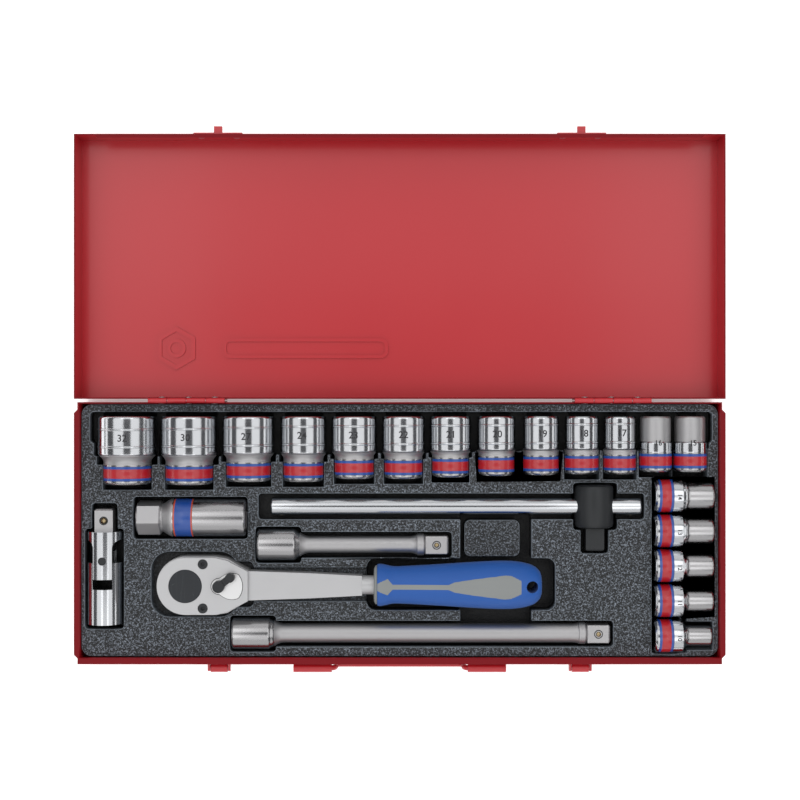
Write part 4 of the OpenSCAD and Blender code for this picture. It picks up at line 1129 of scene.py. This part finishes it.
def make_grip():
    """Two-colour grip: blue overmould with a hanging hole, a flush grey inlay and a grey collar."""
    x, y, z = low("grip_core", 0), middle("grip_core", 1), middle("grip_core", 2)
    length, end_ease, steps = 113.0, 0.9, 72
    hole_at, hole_radius, hole_reach = 106.0, 4.0, 30
    outline = [(GRIP_START, 8.7), (GRIP_START, 13.2)]
    for k in range(steps + 1):
        t = GRIP_START + (length - end_ease - GRIP_START) * k / steps
        outline.append((t, grip_radius(t)))
    end_radius = grip_radius(length)
    outline += [(length - 0.35, end_radius - 0.6), (length, end_radius - 1.6), (length, 3.0)]
    shell = loft("grip_shell", turned(outline), along_x(x, y, z), [GRIP_BLUE], False)
    holder = bpy.data.objects.new("grip_shell_work", shell)
    SCENE.collection.objects.link(holder)
    hole = turned([(-hole_reach, hole_radius), (hole_reach, hole_radius)])
    cutter_mesh = loft("cutter", hole, along_z(x + hole_at, y, z), [GRIP_BLUE], False)
    cutter = bpy.data.objects.new("cutter", cutter_mesh)
    SCENE.collection.objects.link(cutter)
    cut = holder.modifiers.new("cut", "BOOLEAN")
    cut.object = cutter
    cut.operation = "DIFFERENCE"
    cut.solver = "EXACT"
    ease = holder.modifiers.new("ease", "BEVEL")
    ease.width = 0.9 * MM
    ease.segments = 3
    ease.limit_method = "ANGLE"
    ease.angle_limit = math.radians(50)
    ease.harden_normals = True
    mesh = settled(holder)
    bpy.data.objects.remove(cutter)
    add_piece("grip_shell", mesh, "ratchet", ("grip_overmould",))
    mesh = eased_copy("grip_core", "grip_collar", GRIP_GREY, 0.3, 2)
    add_piece("grip_collar", mesh, "ratchet", ("grip_core",))
    make_inlay(x, y, z)


def inlay_half(t):
    """Half width of the grey inlay at distance t from the collar."""
    shape = [(2.2, 2.4), (9.3, 5.9), (12.6, 1.75), (50.0, 1.75), (54.0, 3.6), (66.0, 5.6), (80.0, 7.6),
             (88.0, 8.9), (92.0, 8.2), (98.6, 4.6)]
    for (t0, w0), (t1, w1) in zip(shape, shape[1:]):
        if t0 <= t <= t1:
            return w0 + (w1 - w0) * (t - t0) / (t1 - t0)
    return 0.0


def make_inlay(x, y, z):
    """The grey inlay, a thin strip that follows the grip's top."""
    across, lengthways = 10, 120
    start, end = GRIP_START + 0.05, 98.5
    proud, sunk = 0.07, -0.5
    stations = [start + (end - start) * k / lengthways for k in range(lengthways + 1)]
    points, faces = [], []
    for depth in (proud, sunk):
        for t in stations:
            half = inlay_half(t)
            for i in range(across + 1):
                v = half * (2 * i / across - 1)
                radius = grip_radius(t) + depth
                edge = 0.1 if depth > 0 and i in (0, across) else 0.0
                points.append((x + t, y + v, z + math.sqrt(radius * radius - v * v) - edge))
    row, layer = across + 1, (across + 1) * len(stations)
    for k in range(len(stations) - 1):
        for i in range(across):
            a = k * row + i
            faces.append((a, a + 1, a + row + 1, a + row))
            faces.append((layer + a, layer + a + row, layer + a + row + 1, layer + a + 1))
        for i in (0, across):
            a = k * row + i
            faces.append((a, a + row, layer + a + row, layer + a))
    for k in (0, len(stations) - 1):
        for i in range(across):
            a = k * row + i
            faces.append((a, a + 1, layer + a + 1, layer + a))
    mesh = mesh_from("grip_inlay", points, faces, [GRIP_GREY], None, 50)
    add_piece("grip_inlay", mesh, "ratchet")


# ---------------------------------------------------------------- floor and light


def make_floor():
    """A plain white floor just under the case; sizes in metres."""
    half, drop = 6, -0.0004
    corners = [(-half, -half, drop), (half, -half, drop), (half, half, drop), (-half, half, drop)]
    mesh = bpy.data.meshes.new("floor")
    mesh.from_pydata(corners, [], [(0, 1, 2, 3)])
    finish = Finish("floor_white", specular=0.1)
    finish.tone("#F4F4F4", 0.004, 2.0, 0.9, 0.0)
    finish.shader.inputs["Emission Color"].default_value = (1, 1, 1, 1)
    finish.shader.inputs["Emission Strength"].default_value = 0.3
    mesh.materials.append(finish.material)
    floor = bpy.data.objects.new("floor", mesh)
    SCENE.collection.objects.link(floor)


def soft_box(name, place, width, length, along, radiance):
    """A soft box in metres, facing the case; its length runs along that axis, X or Y."""
    case_middle = Vector((0.0, 0.09, 0.02))
    data = bpy.data.lights.new(name, "AREA")
    data.shape = "RECTANGLE"
    data.size, data.size_y = width, length
    data.energy = radiance * math.pi * width * length
    light = bpy.data.objects.new(name, data)
    back = (Vector(place) - case_middle).normalized()
    side = Vector((1, 0, 0)) if along == "X" else Vector((0, 1, 0))
    up = (side - back * side.dot(back)).normalized()
    across = up.cross(back)
    turn = Matrix((across, up, back)).transposed()
    light.matrix_world = Matrix.Translation(Vector(place)) @ turn.to_4x4()
    SCENE.collection.objects.link(light)


def make_light():
    """Soft boxes round the camera, with darker gaps between them for the chrome to mirror."""
    world = bpy.data.worlds.new("studio")
    SCENE.world = world
    world.use_nodes = True
    tree = world.node_tree
    back = tree.nodes["Background"]
    path = tree.nodes.new("ShaderNodeLightPath")
    mirrored, lighting, seen = (0.10, 0.10, 0.105, 1), (0.75, 0.75, 0.76, 1), (0.95, 0.95, 0.95, 1)
    room = mix_node(tree, path.outputs["Is Diffuse Ray"], mirrored, lighting)
    tree.links.new(mix_node(tree, path.outputs["Is Camera Ray"], room, seen), back.inputs["Color"])
    boxes = [
        ("left_box", (-0.66, 0.10, 1.06), 0.84, 1.5, "Y", 0.98),
        ("right_box", (0.68, 0.10, 1.06), 0.84, 1.5, "Y", 0.98),
        ("back_box", (0.0, 0.62, 1.15), 0.8, 1.1, "X", 0.94),
        ("front_box", (0.0, -0.55, 1.15), 0.8, 1.1, "X", 0.94),
        ("low_left", (-1.7, 0.1, 0.35), 0.3, 1.8, "Y", 1.2),
        ("low_right", (1.7, 0.1, 0.35), 0.3, 1.8, "Y", 1.2),
        ("low_back", (0.0, 1.8, 0.8), 1.3, 2.4, "X", 0.7),
        ("low_front", (0.0, -1.6, 0.8), 1.3, 2.4, "X", 0.7),
    ]
    for box in boxes:
        soft_box(*box)


SCENE.view_settings.view_transform = "Standard"
SCENE.view_settings.look = "None"

make_case()
make_bail()
make_rivets()
make_insert()
for socket_spec in ROW:
    row_socket(socket_spec)
for socket_spec in COLUMN:
    column_socket(socket_spec)
extension("short_extension", 11.4, "short_extension_ball", "short_extension", "short_ball")
extension("long_extension", 12.8, "long_extension_ball", "long_extension", "long_ball")
make_rod()
make_t_head()
make_spark_plug_socket()
make_joint()
make_ratchet()
make_grip()
make_floor()
make_light()
